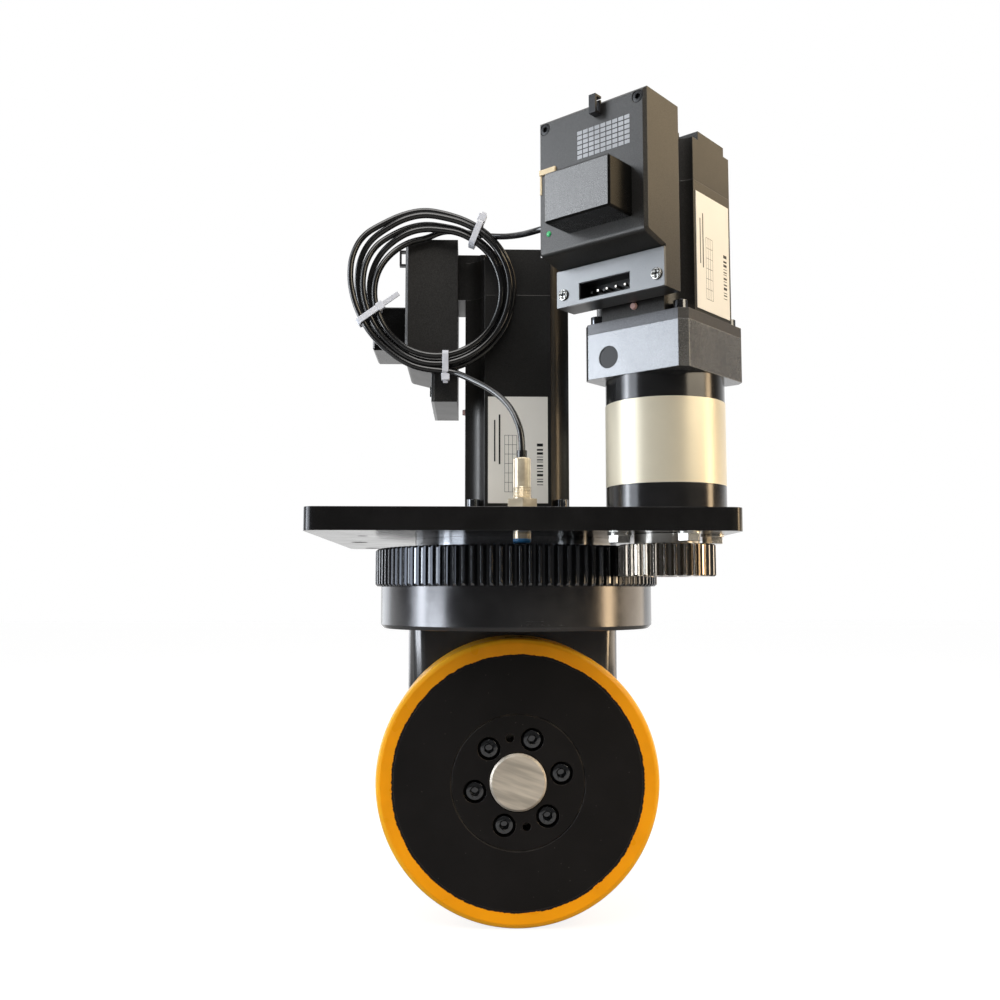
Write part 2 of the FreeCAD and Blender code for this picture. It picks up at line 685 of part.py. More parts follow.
def leg_side():
    """Front view of the leg: straight sides that taper into a round foot about the axle."""
    shoulder = TURRET_BOTTOM - LEG_TAPER_DROP
    right = tangent_point(LEG_RIGHT, shoulder, 1.0)
    left = tangent_point(-LEG_LEFT, shoulder, -1.0)
    upper = [left, Vector(-LEG_LEFT, 0, shoulder), Vector(-LEG_LEFT, 0, TURRET_BOTTOM),
             Vector(LEG_RIGHT, 0, TURRET_BOTTOM), Vector(LEG_RIGHT, 0, shoulder), right]
    edges = [Part.LineSegment(a, b).toShape() for a, b in zip(upper, upper[1:])]
    edges.append(Part.Arc(right, Vector(0, 0, AXLE_Z - LEG_FOOT_R), left).toShape())
    return Part.Face(Part.Wire(edges))


def leg_housing():
    """Cast leg that carries the axle and the bevel stage behind the wheel."""
    column = leg_plan().extrude(Vector(0, 0, TURRET_BOTTOM - AXLE_Z + WHEEL_R))
    column.translate(Vector(0, 0, AXLE_Z - WHEEL_R))
    leg = column.common(leg_side().extrude(Vector(0, LEG_BACK + 1.0, 0)))
    front = edges_where(leg, lambda c: abs(c.y - LEG_FRONT) < 0.01 and c.z < TURRET_BOTTOM - 0.5)
    leg = leg.makeFillet(LEG_EDGE, front)
    leg = leg.fuse(drum(LEG_NOSE_R, LEG_NOSE_END, LEG_FRONT + 1.0))
    seat = FRONT_BEARING_Y + FRONT_BEARING_WIDTH
    cavity_r = BEVEL_MODULE * BEVEL_TEETH_OUT / 2.0 + BEVEL_ROOM
    cavity_front = GEAR_HEEL_Y - BEVEL_FACE * 0.65
    pinion_room = BEVEL_MODULE * (BEVEL_TEETH_IN + 2) / 2.0 + POCKET_GAP
    cuts = [drum(FRONT_BEARING_R, LEG_NOSE_END - 1.0, seat)]
    cuts.append(drum(AXLE_R + POCKET_GAP, seat - 1.0, LEG_BACK))
    cuts.append(drum(cavity_r, cavity_front, LEG_BACK + 1.0))
    cuts.append(disc(MID_BUSH_R, LOW_BUSH_Z, TURRET_BOTTOM + 1.0, 0.0, MID_SHAFT_Y))
    cuts.append(disc(pinion_room, AXLE_Z, LOW_BUSH_Z + 1.0, 0.0, MID_SHAFT_Y))
    save("leg_housing", cut_all(leg, cuts + leg_screws(SEAT_GAP) + cover_screws(SEAT_GAP)))


def cover_screws(gap):
    """Socket screws of the rear cover."""
    face = LEG_BACK + COVER_FLANGE
    shank = drum(SMALL_SCREW_R + gap, LEG_BACK - SMALL_SCREW_BITE - gap, face, AXLE_Z, COVER_SCREW_CIRCLE_R)
    if not gap:
        head = drum(SMALL_SCREW_HEAD_R, face, face + SMALL_SCREW_HEAD, AXLE_Z, COVER_SCREW_CIRCLE_R)
        shank = shank.fuse(head)
    return around(shank, COVER_SCREWS, Vector(0, 0, AXLE_Z), Vector(0, 1, 0), 180.0 / COVER_SCREWS)


def leg_cover():
    """Rear cover with the boss of the rear axle bearing."""
    seat = BEARING_END_GAP + REAR_BEARING_WIDTH
    end = seat + COVER_CAP
    boss_r = REAR_BEARING_R + COVER_BOSS_WALL
    cover = turned(((REAR_BEARING_R, 0.0), (COVER_R, 0.0), (COVER_R, COVER_FLANGE - COVER_EDGE),
                    (COVER_R - COVER_EDGE, COVER_FLANGE), (boss_r, COVER_FLANGE),
                    (boss_r, end - COVER_EDGE), (boss_r - COVER_EDGE, end),
                    (0.0, end), (0.0, seat), (REAR_BEARING_R, seat)),
                   Vector(0, LEG_BACK, AXLE_Z), Vector(0, 1, 0))
    save("leg_cover", cut_all(cover, cover_screws(SEAT_GAP)))
    save("leg_cover_screws", *cover_screws(0.0))


# Axle and wheel

def bearing_rings(outer, bore, start, width):
    """Outer ring, inner ring and rollers of one axle bearing."""
    wall = (outer - bore) * BEARING_RING
    end = start + width
    shell = drum(outer, start, end).cut(drum(outer - wall, start - 1.0, end + 1.0))
    core = drum(bore + wall, start, end).cut(drum(bore, start - 1.0, end + 1.0))
    radius = (outer - bore - 2.0 * wall) / 2.0 - 2.0 * RUN_FIT
    middle = (outer + bore) / 2.0
    count = int(math.pi * middle / (radius * ROLLER_PITCH))
    roller = drum(radius, start + BEARING_LIP, end - BEARING_LIP, AXLE_Z, middle)
    return shell, core, around(roller, count, Vector(0, 0, AXLE_Z), Vector(0, 1, 0))


def axle_bearings():
    """Roller bearings of the axle, and the seal in front of them."""
    front = bearing_rings(FRONT_BEARING_R, AXLE_R, FRONT_BEARING_Y, FRONT_BEARING_WIDTH)
    rear = bearing_rings(REAR_BEARING_R, AXLE_TAIL_R, REAR_BEARING_Y, REAR_BEARING_WIDTH)
    save("axle_bearing_outer_rings", front[0], rear[0])
    save("axle_bearing_inner_rings", front[1], rear[1])
    save("axle_bearing_rollers", *(front[2] + rear[2]))
    seal = drum(FRONT_BEARING_R, SEAL_Y, SEAL_Y + SEAL_WIDTH)
    save("axle_seal", seal.cut(drum(AXLE_R + RUN_FIT, SEAL_Y - 1.0, SEAL_Y + SEAL_WIDTH + 1.0)))


def hub_screws(gap):
    """Socket screws that hold the wheel on the axle flange."""
    seat = WHEEL_FRONT + HUB_SCREW_SINK
    mouth = WHEEL_FRONT - 1.0 if gap else seat - HUB_SCREW_HEAD
    radius = HUB_COUNTERBORE_R if gap else HUB_SCREW_HEAD_R
    head = drum(radius, mouth, seat, AXLE_Z, HUB_SCREW_CIRCLE_R)
    end = WEB_BACK + AXLE_FLANGE - HUB_SCREW_END + gap
    screw = head.fuse(drum(HUB_SCREW_R + gap, seat, end, AXLE_Z, HUB_SCREW_CIRCLE_R))
    if not gap:
        key = hexagon(HUB_SCREW_KEY, 0.0, HUB_SCREW_HEAD * 0.6)
        key.rotate(Vector(0, 0, 0), Vector(1, 0, 0), -90.0)
        key.translate(Vector(HUB_SCREW_CIRCLE_R, mouth, AXLE_Z))
        screw = screw.cut(key)
    return around(screw, HUB_SCREWS, Vector(0, 0, AXLE_Z), Vector(0, -1, 0), HUB_SCREW_ANGLE)


def wheel():
    """Polyurethane tyre on a steel centre, bolted to the axle."""
    centre = Vector(0, 0, AXLE_Z)
    axis = Vector(0, 1, 0)
    front, back = WHEEL_FRONT, WHEEL_BACK
    bore = SPIGOT_R + RUN_FIT
    rim_in = RIM_R - RIM_WALL
    side = HUB_GROOVE / 2.0
    hub = turned(((bore + 1.0, front), (HUB_GROOVE_R - side, front), (HUB_GROOVE_R, front + side),
                  (HUB_GROOVE_R + side, front), (RIM_R, front), (RIM_R, back), (rim_in, back),
                  (rim_in - RIM_DRAFT, WEB_BACK), (bore, WEB_BACK), (bore, front + 1.0)), centre, axis)
    jack = drum(JACK_HOLE_R, front - 1.0, WEB_BACK + 1.0, AXLE_Z, HUB_SCREW_CIRCLE_R)
    jacks = around(jack, 2, centre, Vector(0, -1, 0), JACK_HOLE_ANGLE)
    save("wheel_hub", cut_all(hub, hub_screws(SEAT_GAP) + jacks))
    save("hub_screws", *hub_screws(0.0))

    shoulder = WHEEL_R - TYRE_EDGE
    crown = WHEEL_R - TYRE_EDGE * 0.3
    tyre = turned(((RIM_R, front), (shoulder, front), (crown, front + TYRE_EDGE * 0.3),
                   (WHEEL_R, front + TYRE_EDGE), (WHEEL_R, back - TYRE_EDGE),
                   (crown, back - TYRE_EDGE * 0.3), (shoulder, back), (RIM_R, back)), centre, axis)
    save("tyre", tyre)


def axle():
    """Stepped axle with the wheel flange, and the bevel gear on its tail."""
    tip = WHEEL_FRONT - SPIGOT_PROUD
    shoulder = GEAR_HEEL_Y - BEVEL_SEAT
    end = REAR_BEARING_Y + REAR_BEARING_WIDTH
    spindle = turned(((0.0, tip), (SPIGOT_R - SPIGOT_EDGE, tip), (SPIGOT_R, tip + SPIGOT_EDGE),
                      (SPIGOT_R, WEB_BACK), (AXLE_FLANGE_R, WEB_BACK), (AXLE_FLANGE_R, AXLE_SHOULDER),
                      (AXLE_R, AXLE_SHOULDER), (AXLE_R, shoulder), (AXLE_GEAR_R, shoulder),
                      (AXLE_GEAR_R, GEAR_BACK_Y), (AXLE_TAIL_R, GEAR_BACK_Y), (AXLE_TAIL_R, end),
                      (0.0, end)), Vector(0, 0, AXLE_Z), Vector(0, 1, 0))
    save("axle", cut_all(spindle, hub_screws(SEAT_GAP)))

    gear = bevel_gear(BEVEL_TEETH_OUT, BEVEL_TEETH_IN, AXLE_GEAR_R + RUN_FIT, BEVEL_HUB, BEVEL_HUB_R, 0.0, 2)
    gear.rotate(Vector(0, 0, 0), Vector(1, 0, 0), -90.0)
    gear.translate(Vector(0, MID_SHAFT_Y, AXLE_Z))
    save("axle_bevel_gear", gear)


# Traction gear train

def mid_shaft():
    """Upright shaft in the leg: spur wheel on top, bevel pinion at the foot, two bronze bushes."""
    collar = MID_SHAFT_R + MID_COLLAR
    shaft = turned(((0.0, PINION_BACK_Z - 1.0), (MID_SHAFT_R, PINION_BACK_Z - 1.0),
                    (MID_SHAFT_R, POCKET_BOTTOM), (collar, POCKET_BOTTOM), (collar, SPUR_BOTTOM),
                    (MID_SHAFT_R, SPUR_BOTTOM), (MID_SHAFT_R, SPUR_TOP), (0.0, SPUR_TOP)))
    pinion = bevel_gear(BEVEL_TEETH_IN, BEVEL_TEETH_OUT, 0.0, PINION_HUB, MID_SHAFT_R + PINION_HUB_WALL,
                        90.0 + 180.0 / BEVEL_TEETH_IN, 3)
    pinion.translate(Vector(0, 0, AXLE_Z))
    shaft = shaft.fuse(pinion).removeSplitter()
    wheel_on_shaft = spur_gear(SPUR_TEETH_OUT, SPUR_MODULE, SPUR_BOTTOM, SPUR_TOP, MID_SHAFT_R + RUN_FIT, 2,
                               SPUR_CHAMFER, 270.0)
    for shape in (shaft, wheel_on_shaft):
        shape.translate(Vector(0, MID_SHAFT_Y, 0))
    save("mid_shaft", shaft)
    save("mid_spur_wheel", wheel_on_shaft)
    bushes = [pipe(MID_BUSH_R, MID_SHAFT_R + RUN_FIT, low, low + MID_BUSH_LENGTH, 0.0, MID_SHAFT_Y)
              for low in (TOP_BUSH_Z, LOW_BUSH_Z)]
    save("mid_shaft_bushes", *bushes)


def reducer_screws(gap):
    """Socket screws of the reducer's flange."""
    middle = (REDUCER_R + REDUCER_FLANGE_R) / 2.0
    low = PLATE_BOTTOM - REDUCER_FLANGE
    screw = disc(SMALL_SCREW_R + gap, low, PLATE_BOTTOM, middle)
    if not gap:
        screw = screw.fuse(disc(SMALL_SCREW_HEAD_R, low - SMALL_SCREW_HEAD, low, middle))
    return around(screw, REDUCER_SCREWS, start=180.0 / REDUCER_SCREWS)


def traction_reducer():
    """Round reducer hung under the plate, and the spur pinion on its output shaft."""
    flange_low = PLATE_BOTTOM - REDUCER_FLANGE
    body = turned(((0.0, REDUCER_BOTTOM), (REDUCER_R - REDUCER_EDGE, REDUCER_BOTTOM),
                   (REDUCER_R, REDUCER_BOTTOM + REDUCER_EDGE), (REDUCER_R, flange_low),
                   (REDUCER_FLANGE_R, flange_low), (REDUCER_FLANGE_R, PLATE_BOTTOM),
                   (REDUCER_PILOT_R, PLATE_BOTTOM), (REDUCER_PILOT_R, 0.0), (0.0, 0.0)))
    bore = disc(OUTPUT_SHAFT_R + RUN_FIT, REDUCER_BOTTOM - 1.0, REDUCER_BOTTOM + OUTPUT_SHAFT_DEPTH)
    save("traction_reducer", cut_all(body, [bore] + reducer_screws(SEAT_GAP)))
    save("reducer_screws", *reducer_screws(0.0))

    pinion = spur_gear(SPUR_TEETH_IN, SPUR_MODULE, SPUR_BOTTOM, SPUR_TOP, 0.0, 2, SPUR_CHAMFER,
                       90.0 + 180.0 / SPUR_TEETH_IN)
    shaft = disc(OUTPUT_SHAFT_R, SPUR_TOP - 0.5, REDUCER_BOTTOM + OUTPUT_SHAFT_DEPTH - SEAT_GAP)
    save("traction_pinion", pinion.fuse(shaft).removeSplitter())


# Steering gearbox and pinion

def gearbox_bolts(gap):
    """Hexagon bolts and washers that hold the steering gearbox from below."""
    bolts = []
    head_top = PLATE_BOTTOM - WASHER_THICK
    for index in range(4):
        angle = math.radians(GEARBOX_BOLT_ANGLE + 90.0 * index)
        x = PINION_X + GEARBOX_BOLT_CIRCLE_R * math.cos(angle)
        y = PINION_Y + GEARBOX_BOLT_CIRCLE_R * math.sin(angle)
        low = PLATE_BOTTOM - 1.0 if gap else head_top
        bolt = disc(GEARBOX_BOLT_R + gap, low, GEARBOX_BOLT_BITE + gap, x, y)
        if not gap:
            bolt = bolt.fuse(disc(WASHER_R, head_top, PLATE_BOTTOM, x, y))
            bolt = bolt.fuse(hexagon(GEARBOX_BOLT_AF, head_top - GEARBOX_BOLT_HEAD, head_top, x, y,
                                     GEARBOX_BOLT_ANGLE))
        bolts.append(bolt)
    return bolts


def steering_gearbox():
    """Round planetary gearbox on the plate, and the square adapter for its motor."""
    sleeve_top = GEARBOX_LOW_RING + GEARBOX_SLEEVE
    nose_end = RING_TOP + SEAT_GAP
    bore = STEER_SHAFT_R + RUN_FIT
    lower = turned(((0.0, GEARBOX_LOW_RING), (GEARBOX_R, GEARBOX_LOW_RING), (GEARBOX_R, 0.0),
                    (GEARBOX_PILOT_R, 0.0), (GEARBOX_PILOT_R, PLATE_BOTTOM), (GEARBOX_NOSE_R, PLATE_BOTTOM),
                    (GEARBOX_NOSE_R, nose_end), (bore, nose_end), (bore, STEER_SHAFT_SEAT),
                    (0.0, STEER_SHAFT_SEAT)), Vector(PINION_X, PINION_Y, 0))
    save("gearbox_output_housing", cut_all(lower, gearbox_bolts(SEAT_GAP)))
    save("gearbox_bolts", *gearbox_bolts(0.0))
    save("gearbox_ring_sleeve", disc(GEARBOX_R, GEARBOX_LOW_RING, sleeve_top, PINION_X, PINION_Y))
    save("gearbox_input_housing", disc(GEARBOX_R - GEARBOX_STEP, sleeve_top, GEARBOX_TOP, PINION_X, PINION_Y))

    half = FLANGE_SIZE / 2.0
    adapter = block(-half, half, -half, half, 0.0, ADAPTER_HEIGHT)
    adapter = adapter.makeChamfer(ADAPTER_CHAMFER, vertical_edges(adapter, ADAPTER_HEIGHT))
    mouth = Vector(-PLUG_OFFSET, -half, ADAPTER_HEIGHT - PLUG_DROP)
    adapter = adapter.cut(Part.makeCylinder(PLUG_R, PLUG_DEPTH, mouth, Vector(0, 1, 0)))
    sunk = mouth + Vector(0, PLUG_SINK, 0)
    plug = Part.makeCylinder(PLUG_R - RUN_FIT, PLUG_DEPTH - PLUG_SINK, sunk, Vector(0, 1, 0))
    place = Placement(Vector(PINION_X, PINION_Y, GEARBOX_TOP), Rotation(Vector(0, 0, 1), STEER_MOTOR_ANGLE))
    for piece in (adapter, plug):
        piece.Placement = place
    save("motor_adapter", adapter)
    save("adapter_plug", plug)


def steering_pinion():
    """Steering pinion on the gearbox output shaft, held by a washer and a low bolt sunk in its end."""
    low = RING_TOP - PINION_FACE
    gear = spur_gear(PINION_TEETH, GEAR_MODULE, low, RING_TOP, STEER_SHAFT_R + RUN_FIT, 3, GEAR_MODULE / 2.0,
                     STEER_MESH_ANGLE + 180.0)
    gear.translate(Vector(PINION_X, PINION_Y, 0))
    seat = low + RETAINER_SINK
    save("steering_pinion", gear.cut(disc(RETAINER_R + SEAT_GAP, low - 1.0, seat, PINION_X, PINION_Y)))
    top = STEER_SHAFT_SEAT - SEAT_GAP
    save("gearbox_output_shaft", disc(STEER_SHAFT_R, seat, top, PINION_X, PINION_Y))
    washer_low = seat - WASHER_THICK
    washer = disc(RETAINER_R, washer_low, seat, PINION_X, PINION_Y)
    head = hexagon(GEARBOX_BOLT_AF, washer_low - RETAINER_HEAD, washer_low, PINION_X, PINION_Y)
    save("pinion_retainer", washer.fuse(head))


# Motors and their electronics

def motor_section():
    """Square motor section with a hollow at each corner for the flange bolts."""
    half = MOTOR_SIZE / 2.0
    flat = half - MOTOR_RECESS_R
    deep = half - MOTOR_RECESS_R / math.sqrt(2.0)
    edges = []
    for quarter in range(4):
        turn = Rotation(Vector(0, 0, 1), 90.0 * quarter)
        start, end, low, following = [turn.multVec(Vector(x, y, 0)) for x, y in
                                      ((half, -flat), (half, flat), (deep, deep), (flat, half))]
        edges.append(Part.LineSegment(start, end).toShape())
        edges.append(Part.Arc(end, low, following).toShape())
    return Part.Face(Part.Wire(edges))


def flange_bolts(gap):
    """Four bolts in the corners of a motor flange."""
    bolts = []
    for x in (-FLANGE_BOLT_OFFSET, FLANGE_BOLT_OFFSET):
        for y in (-FLANGE_BOLT_OFFSET, FLANGE_BOLT_OFFSET):
            if gap:
                bolts.append(disc(FLANGE_BOLT_R + gap, -1.0, FLANGE_THICK + 1.0, x, y))
            else:
                bolts.append(socket_screw(FLANGE_BOLT_HEAD_R, FLANGE_BOLT_HEAD, FLANGE_BOLT_R,
                                          FLANGE_THICK, FLANGE_THICK, gap, x, y))
    return bolts


def rear_housing():
    """Housing on top of the motor body, with stepped corners and a bridge to the electronics."""
    side = MOTOR_SIZE / 2.0
    rear = motor_section().extrude(Vector(0, 0, REAR_HEIGHT))
    step = REAR_HEIGHT - REAR_NOTCH_DEPTH
    for x in (-1.0, 1.0):
        for y in (-1.0, 1.0):
            corner = block(0.0, REAR_NOTCH, 0.0, REAR_NOTCH, step, REAR_HEIGHT + 1.0)
            corner.translate(Vector(x * side - (REAR_NOTCH if x > 0 else 0.0),
                                    y * side - (REAR_NOTCH if y > 0 else 0.0), 0))
            inset = side - REAR_BOSS_INSET
            boss = disc(REAR_BOSS_R, step - 1.0, REAR_HEIGHT - 1.0, x * inset, y * inset)
            rear = rear.cut(corner).fuse(boss)
    wide = side - MOTOR_RECESS_R
    bridge = block(-wide, wide, -CASE_INNER, 0.0, 0.0, REAR_HEIGHT)
    return rear.fuse(bridge).removeSplitter()


def case_screw_spots():
    """Places of the two screws on the case's face."""
    high = CASE_TOP - CASE_SCREW_INSET
    return ((CASE_LEFT + CASE_SCREW_INSET, high), (CASE_RIGHT - CASE_SCREW_INSET, high))


def panel_screw_spots():
    """Places of the two screws on the connector panel."""
    middle = (SOCKET_BOTTOM + SOCKET_TOP) / 2.0
    return ((CASE_LEFT + CASE_SCREW_INSET, middle), (CASE_RIGHT - CASE_SCREW_INSET, middle))


def along_depth(radius, x, z, front, depth):
    """Cylinder that runs inwards from a face of the electronics."""
    return Part.makeCylinder(radius, depth, Vector(x, -front, z), Vector(0, 1, 0))


def socket_mouth():
    """Space of the power socket."""
    return block(SOCKET_LEFT, SOCKET_RIGHT, -PANEL_FACE - 1.0, SOCKET_DEPTH - PANEL_FACE,
                 SOCKET_BOTTOM, SOCKET_TOP)


def driver_case():
    """Housing of the electronics: tall box over a narrower foot, with the power socket and its pins."""
    foot = PANEL_FACE - PANEL_THICK
    outline = ((CASE_INNER, PANEL_BOTTOM), (foot, PANEL_BOTTOM), (foot, PANEL_TOP), (CASE_FACE, CASE_LEDGE),
               (CASE_FACE, CASE_TOP), (CASE_INNER, CASE_TOP))
    case = Part.Face(polygon([Vector(CASE_LEFT, -y, z) for y, z in outline]))
    case = case.extrude(Vector(CASE_RIGHT - CASE_LEFT, 0, 0))
    ledge = edges_where(case, lambda c: abs(c.y + CASE_FACE) < 0.01 and abs(c.z - CASE_LEDGE) < 0.01)
    case = case.makeFillet(LEDGE_EDGE, ledge)
    front = edges_where(case, lambda c: abs(c.y + CASE_FACE) < 0.01 and c.z > CASE_LEDGE + LEDGE_EDGE)
    case = case.makeChamfer(CASE_EDGE, front)
    wells = [along_depth(CASE_SCREW_R, x, z, CASE_FACE, CASE_SCREW_SINK + CASE_SCREW_HEAD)
             for x, z in case_screw_spots()]
    case = cut_all(case, wells + [socket_mouth()])
    back = SOCKET_DEPTH - PANEL_FACE
    middle = (SOCKET_BOTTOM + SOCKET_TOP) / 2.0
    step = (SOCKET_RIGHT - SOCKET_LEFT) / SOCKET_PINS
    half = PIN_SIZE / 2.0
    for index in range(SOCKET_PINS):
        x = SOCKET_LEFT + step * (index + 0.5)
        pin = block(x - half, x + half, back - PIN_LENGTH, back + 0.1, middle - half, middle + half)
        case = case.fuse(pin)
    return case


def connector_panel():
    """Metal plate on the foot of the case, open for the power socket."""
    plate = block(CASE_LEFT, CASE_RIGHT, -PANEL_FACE, PANEL_THICK - PANEL_FACE, PANEL_BOTTOM, PANEL_TOP)
    return plate.cut(socket_mouth())


def driver_hood():
    """Raised hood over the connectors on the case's face."""
    hood = block(HOOD_LEFT, HOOD_RIGHT, -CASE_FACE - HOOD_DEPTH, -CASE_FACE, HOOD_BOTTOM, HOOD_TOP)
    rim = edges_where(hood, lambda c: c.y < -CASE_FACE - 0.5)
    return hood.makeChamfer(HOOD_EDGE, rim)


def driver_screws():
    """Screw heads on the case's face and on the connector panel."""
    front = CASE_FACE - CASE_SCREW_SINK
    heads = []
    for x, z in case_screw_spots():
        heads.append(along_depth(CASE_SCREW_R - SEAT_GAP, x, z, front, CASE_SCREW_HEAD))
    for x, z in panel_screw_spots():
        heads.append(along_depth(PANEL_SCREW_R, x, z, PANEL_FACE + PANEL_SCREW_HEAD, PANEL_SCREW_HEAD))
    return heads


def cable_clip():
    """Small loop on the case's face, for a cable tie."""
    left = CLIP_CENTRE - CLIP_WIDTH / 2.0
    right = CLIP_CENTRE + CLIP_WIDTH / 2.0
    tip = -CASE_FACE - CLIP_REACH
    low = CLIP_TOP - CLIP_HEIGHT
    loop = block(left, right, tip, -CASE_FACE, low, CLIP_TOP)
    back = block(left, right, -CASE_FACE - CLIP_WALL, -CASE_FACE, low, CASE_TOP)
    hole = block(left - 1.0, right + 1.0, tip + CLIP_WALL, 1.0 - CASE_FACE, low + CLIP_WALL,
                 CLIP_TOP - CLIP_WALL)
    return loop.cut(hole).fuse(back).removeSplitter()


def motor_unit(name, length, place):
    """One integrated motor: flange, body, rear housing and electronics. Returns its small parts."""
    half = FLANGE_SIZE / 2.0
    flange = block(-half, half, -half, half, 0.0, FLANGE_THICK)
    flange = flange.makeChamfer(ADAPTER_CHAMFER, vertical_edges(flange, FLANGE_THICK))
    body = motor_section().extrude(Vector(0, 0, length - FLANGE_THICK))
    body.translate(Vector(0, 0, FLANGE_THICK))
    side = MOTOR_SIZE / 2.0
    label = block(side, side + LABEL_THICK, -LABEL_WIDTH / 2.0, LABEL_WIDTH / 2.0, LABEL_BASE,
                  LABEL_BASE + LABEL_HEIGHT)
    upper = {"motor_rear_housing": rear_housing(), "driver_case": driver_case(),
             "driver_hood": driver_hood(), "connector_panel": connector_panel()}
    screws = driver_screws()
    clip = cable_clip()
    for shape in list(upper.values()) + screws + [clip]:
        shape.translate(Vector(0, 0, length))
    bolts = flange_bolts(0.0)
    upper["motor_flange"] = cut_all(flange, flange_bolts(SEAT_GAP))
    upper["motor_body"] = body
    for suffix, shape in upper.items():
        save(name + "_" + suffix, moved(shape, place))
    return {"motor_flange_bolts": [moved(bolt, place) for bolt in bolts],
            "driver_screws": [moved(screw, place) for screw in screws],
            "cable_clips": [moved(clip, place)], "motor_labels": [moved(label, place)]}


def moved(shape, place):
    """Shape carried from its own frame to a place."""
    carried = shape.copy()
    carried.Placement = place.multiply(shape.Placement)
    return carried


def motors():
    """Traction motor on the steering axis and steering motor on its gearbox."""
    up = Vector(0, 0, 1)
    traction = Placement(Vector(0, 0, 0), Rotation(up, TRACTION_MOTOR_ANGLE))
    steering = Placement(Vector(PINION_X, PINION_Y, STEER_MOTOR_BASE), Rotation(up, STEER_MOTOR_ANGLE))
    first = motor_unit("traction", TRACTION_MOTOR_LENGTH, traction)
    second = motor_unit("steering", STEER_MOTOR_LENGTH, steering)
    for name in first:
        save(name, *(first[name] + second[name]))
    seat = Vector(CASE_LEFT, -GLAND_REACH, STEER_MOTOR_LENGTH + GLAND_HEIGHT)
    outwards = Vector(-1, 0, 0)
    nut = Part.makeCylinder(GLAND_R, GLAND_NUT, seat, outwards)
    cone = Part.makeCone(GLAND_R * 0.85, CABLE_D / 2.0 + GLAND_TIP_WALL, GLAND_CONE,
                         seat + outwards * GLAND_NUT, outwards)
    save("sensor_cable_gland", moved(nut.fuse(cone), steering))


# Sensor and its cable

def home_sensor():
    """Inductive sensor through the plate, above the ring gear."""
    tip = RING_TOP + SENSOR_GAP
    barrel = turned(((0.0, tip), (SENSOR_R - SENSOR_EDGE, tip), (SENSOR_R, tip + SENSOR_EDGE),
                     (SENSOR_R, SENSOR_TOP - SENSOR_EDGE), (SENSOR_R - SENSOR_EDGE, SENSOR_TOP),
                     (0.0, SENSOR_TOP)), Vector(SENSOR_X, SENSOR_Y, 0))
    save("home_sensor", barrel)
    bore = SENSOR_R + RUN_FIT
    top = SENSOR_WASHER + SENSOR_NUT
    nut = hexagon(SENSOR_NUT_AF, SENSOR_WASHER, top, SENSOR_X, SENSOR_Y, 30.0)
    nut = nut.cut(disc(bore, 0.0, top + 1.0, SENSOR_X, SENSOR_Y))
    save("sensor_nut", pipe(SENSOR_WASHER_R, bore, 0.0, SENSOR_WASHER, SENSOR_X, SENSOR_Y), nut)
    save("sensor_boot", disc(BOOT_R, SENSOR_TOP, SENSOR_TOP + BOOT_LENGTH, SENSOR_X, SENSOR_Y))


def coil():
    """Outer shape of the coiled cable: a thick ring with its opening off centre."""
    half = COIL_THICK / 2.0
    level = half - COIL_EDGE
    axis = Vector(0, 1, 0)
    body = turned(((0.0, -half), (COIL_R - COIL_EDGE, -half), (COIL_R, -level), (COIL_R, level),
                   (COIL_R - COIL_EDGE, half), (0.0, half)), Vector(COIL_X, COIL_Y, COIL_Z), axis)
    flare = COIL_OPENING_R + COIL_EDGE
    opening = turned(((0.0, -half - 1.0), (flare + 1.0, -half - 1.0), (COIL_OPENING_R, -level),
                      (COIL_OPENING_R, level), (flare + 1.0, half + 1.0), (0.0, half + 1.0)),
                     Vector(COIL_OPENING_X, COIL_Y, COIL_OPENING_Z), axis)
    return body.cut(opening)


def opening_reach(angle):
    """Distance from the coil's centre to the edge of its opening, in one direction."""
    along = Vector(math.cos(math.radians(angle)), 0, math.sin(math.radians(angle)))
    shift = Vector(COIL_OPENING_X - COIL_X, 0, COIL_OPENING_Z - COIL_Z)
    near = along.dot(shift)
    return near + math.sqrt(near ** 2 - shift.dot(shift) + COIL_OPENING_R ** 2)


def cable_tie(angle):
    """Tie round the coil at one angle, with its head outside."""
    inner = opening_reach(angle) - TIE_GAP
    outer = COIL_R + TIE_GAP
    depth = COIL_THICK / 2.0 + TIE_GAP
    wide = TIE_WIDTH / 2.0
    head_wide = wide + TIE_HEAD_EXTRA
    band = block(inner - TIE_THICK, outer + TIE_THICK, -depth - TIE_THICK, depth + TIE_THICK, -wide, wide)
    band = band.cut(block(inner, outer, -depth, depth, -wide - 1.0, wide + 1.0))
    head = block(outer, outer + TIE_HEAD, -depth - TIE_THICK, -depth + TIE_HEAD, -head_wide, head_wide)
    tie = band.fuse(head)
    tie.rotate(Vector(0, 0, 0), Vector(0, 1, 0), -angle)
    tie.translate(Vector(COIL_X, COIL_Y, COIL_Z))
    return tie


def cable():
    """Sensor cable: a lead from the sensor, a tied coil beside the case, a lead to the steering drive."""
    save("cable_lead_sensor", tube_along(LEAD_SENSOR, CABLE_D, "cable_lead_sensor"))
    save("cable_lead_driver", tube_along(LEAD_DRIVER, CABLE_D, "cable_lead_driver"))
    save("cable_coil", coil())
    save("cable_ties", *[cable_tie(angle) for angle in TIE_ANGLES])


os.makedirs("parts", exist_ok=True)
mounting_plate()
slewing_ring()
turret_ring()
leg_housing()
leg_cover()
axle_bearings()
wheel()
axle()
mid_shaft()
traction_reducer()
steering_gearbox()
steering_pinion()
motors()
home_sensor()
cable()
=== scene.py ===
"""Steered drive wheel unit for a floor vehicle: finishes, cord and small fittings on its CAD frame."""

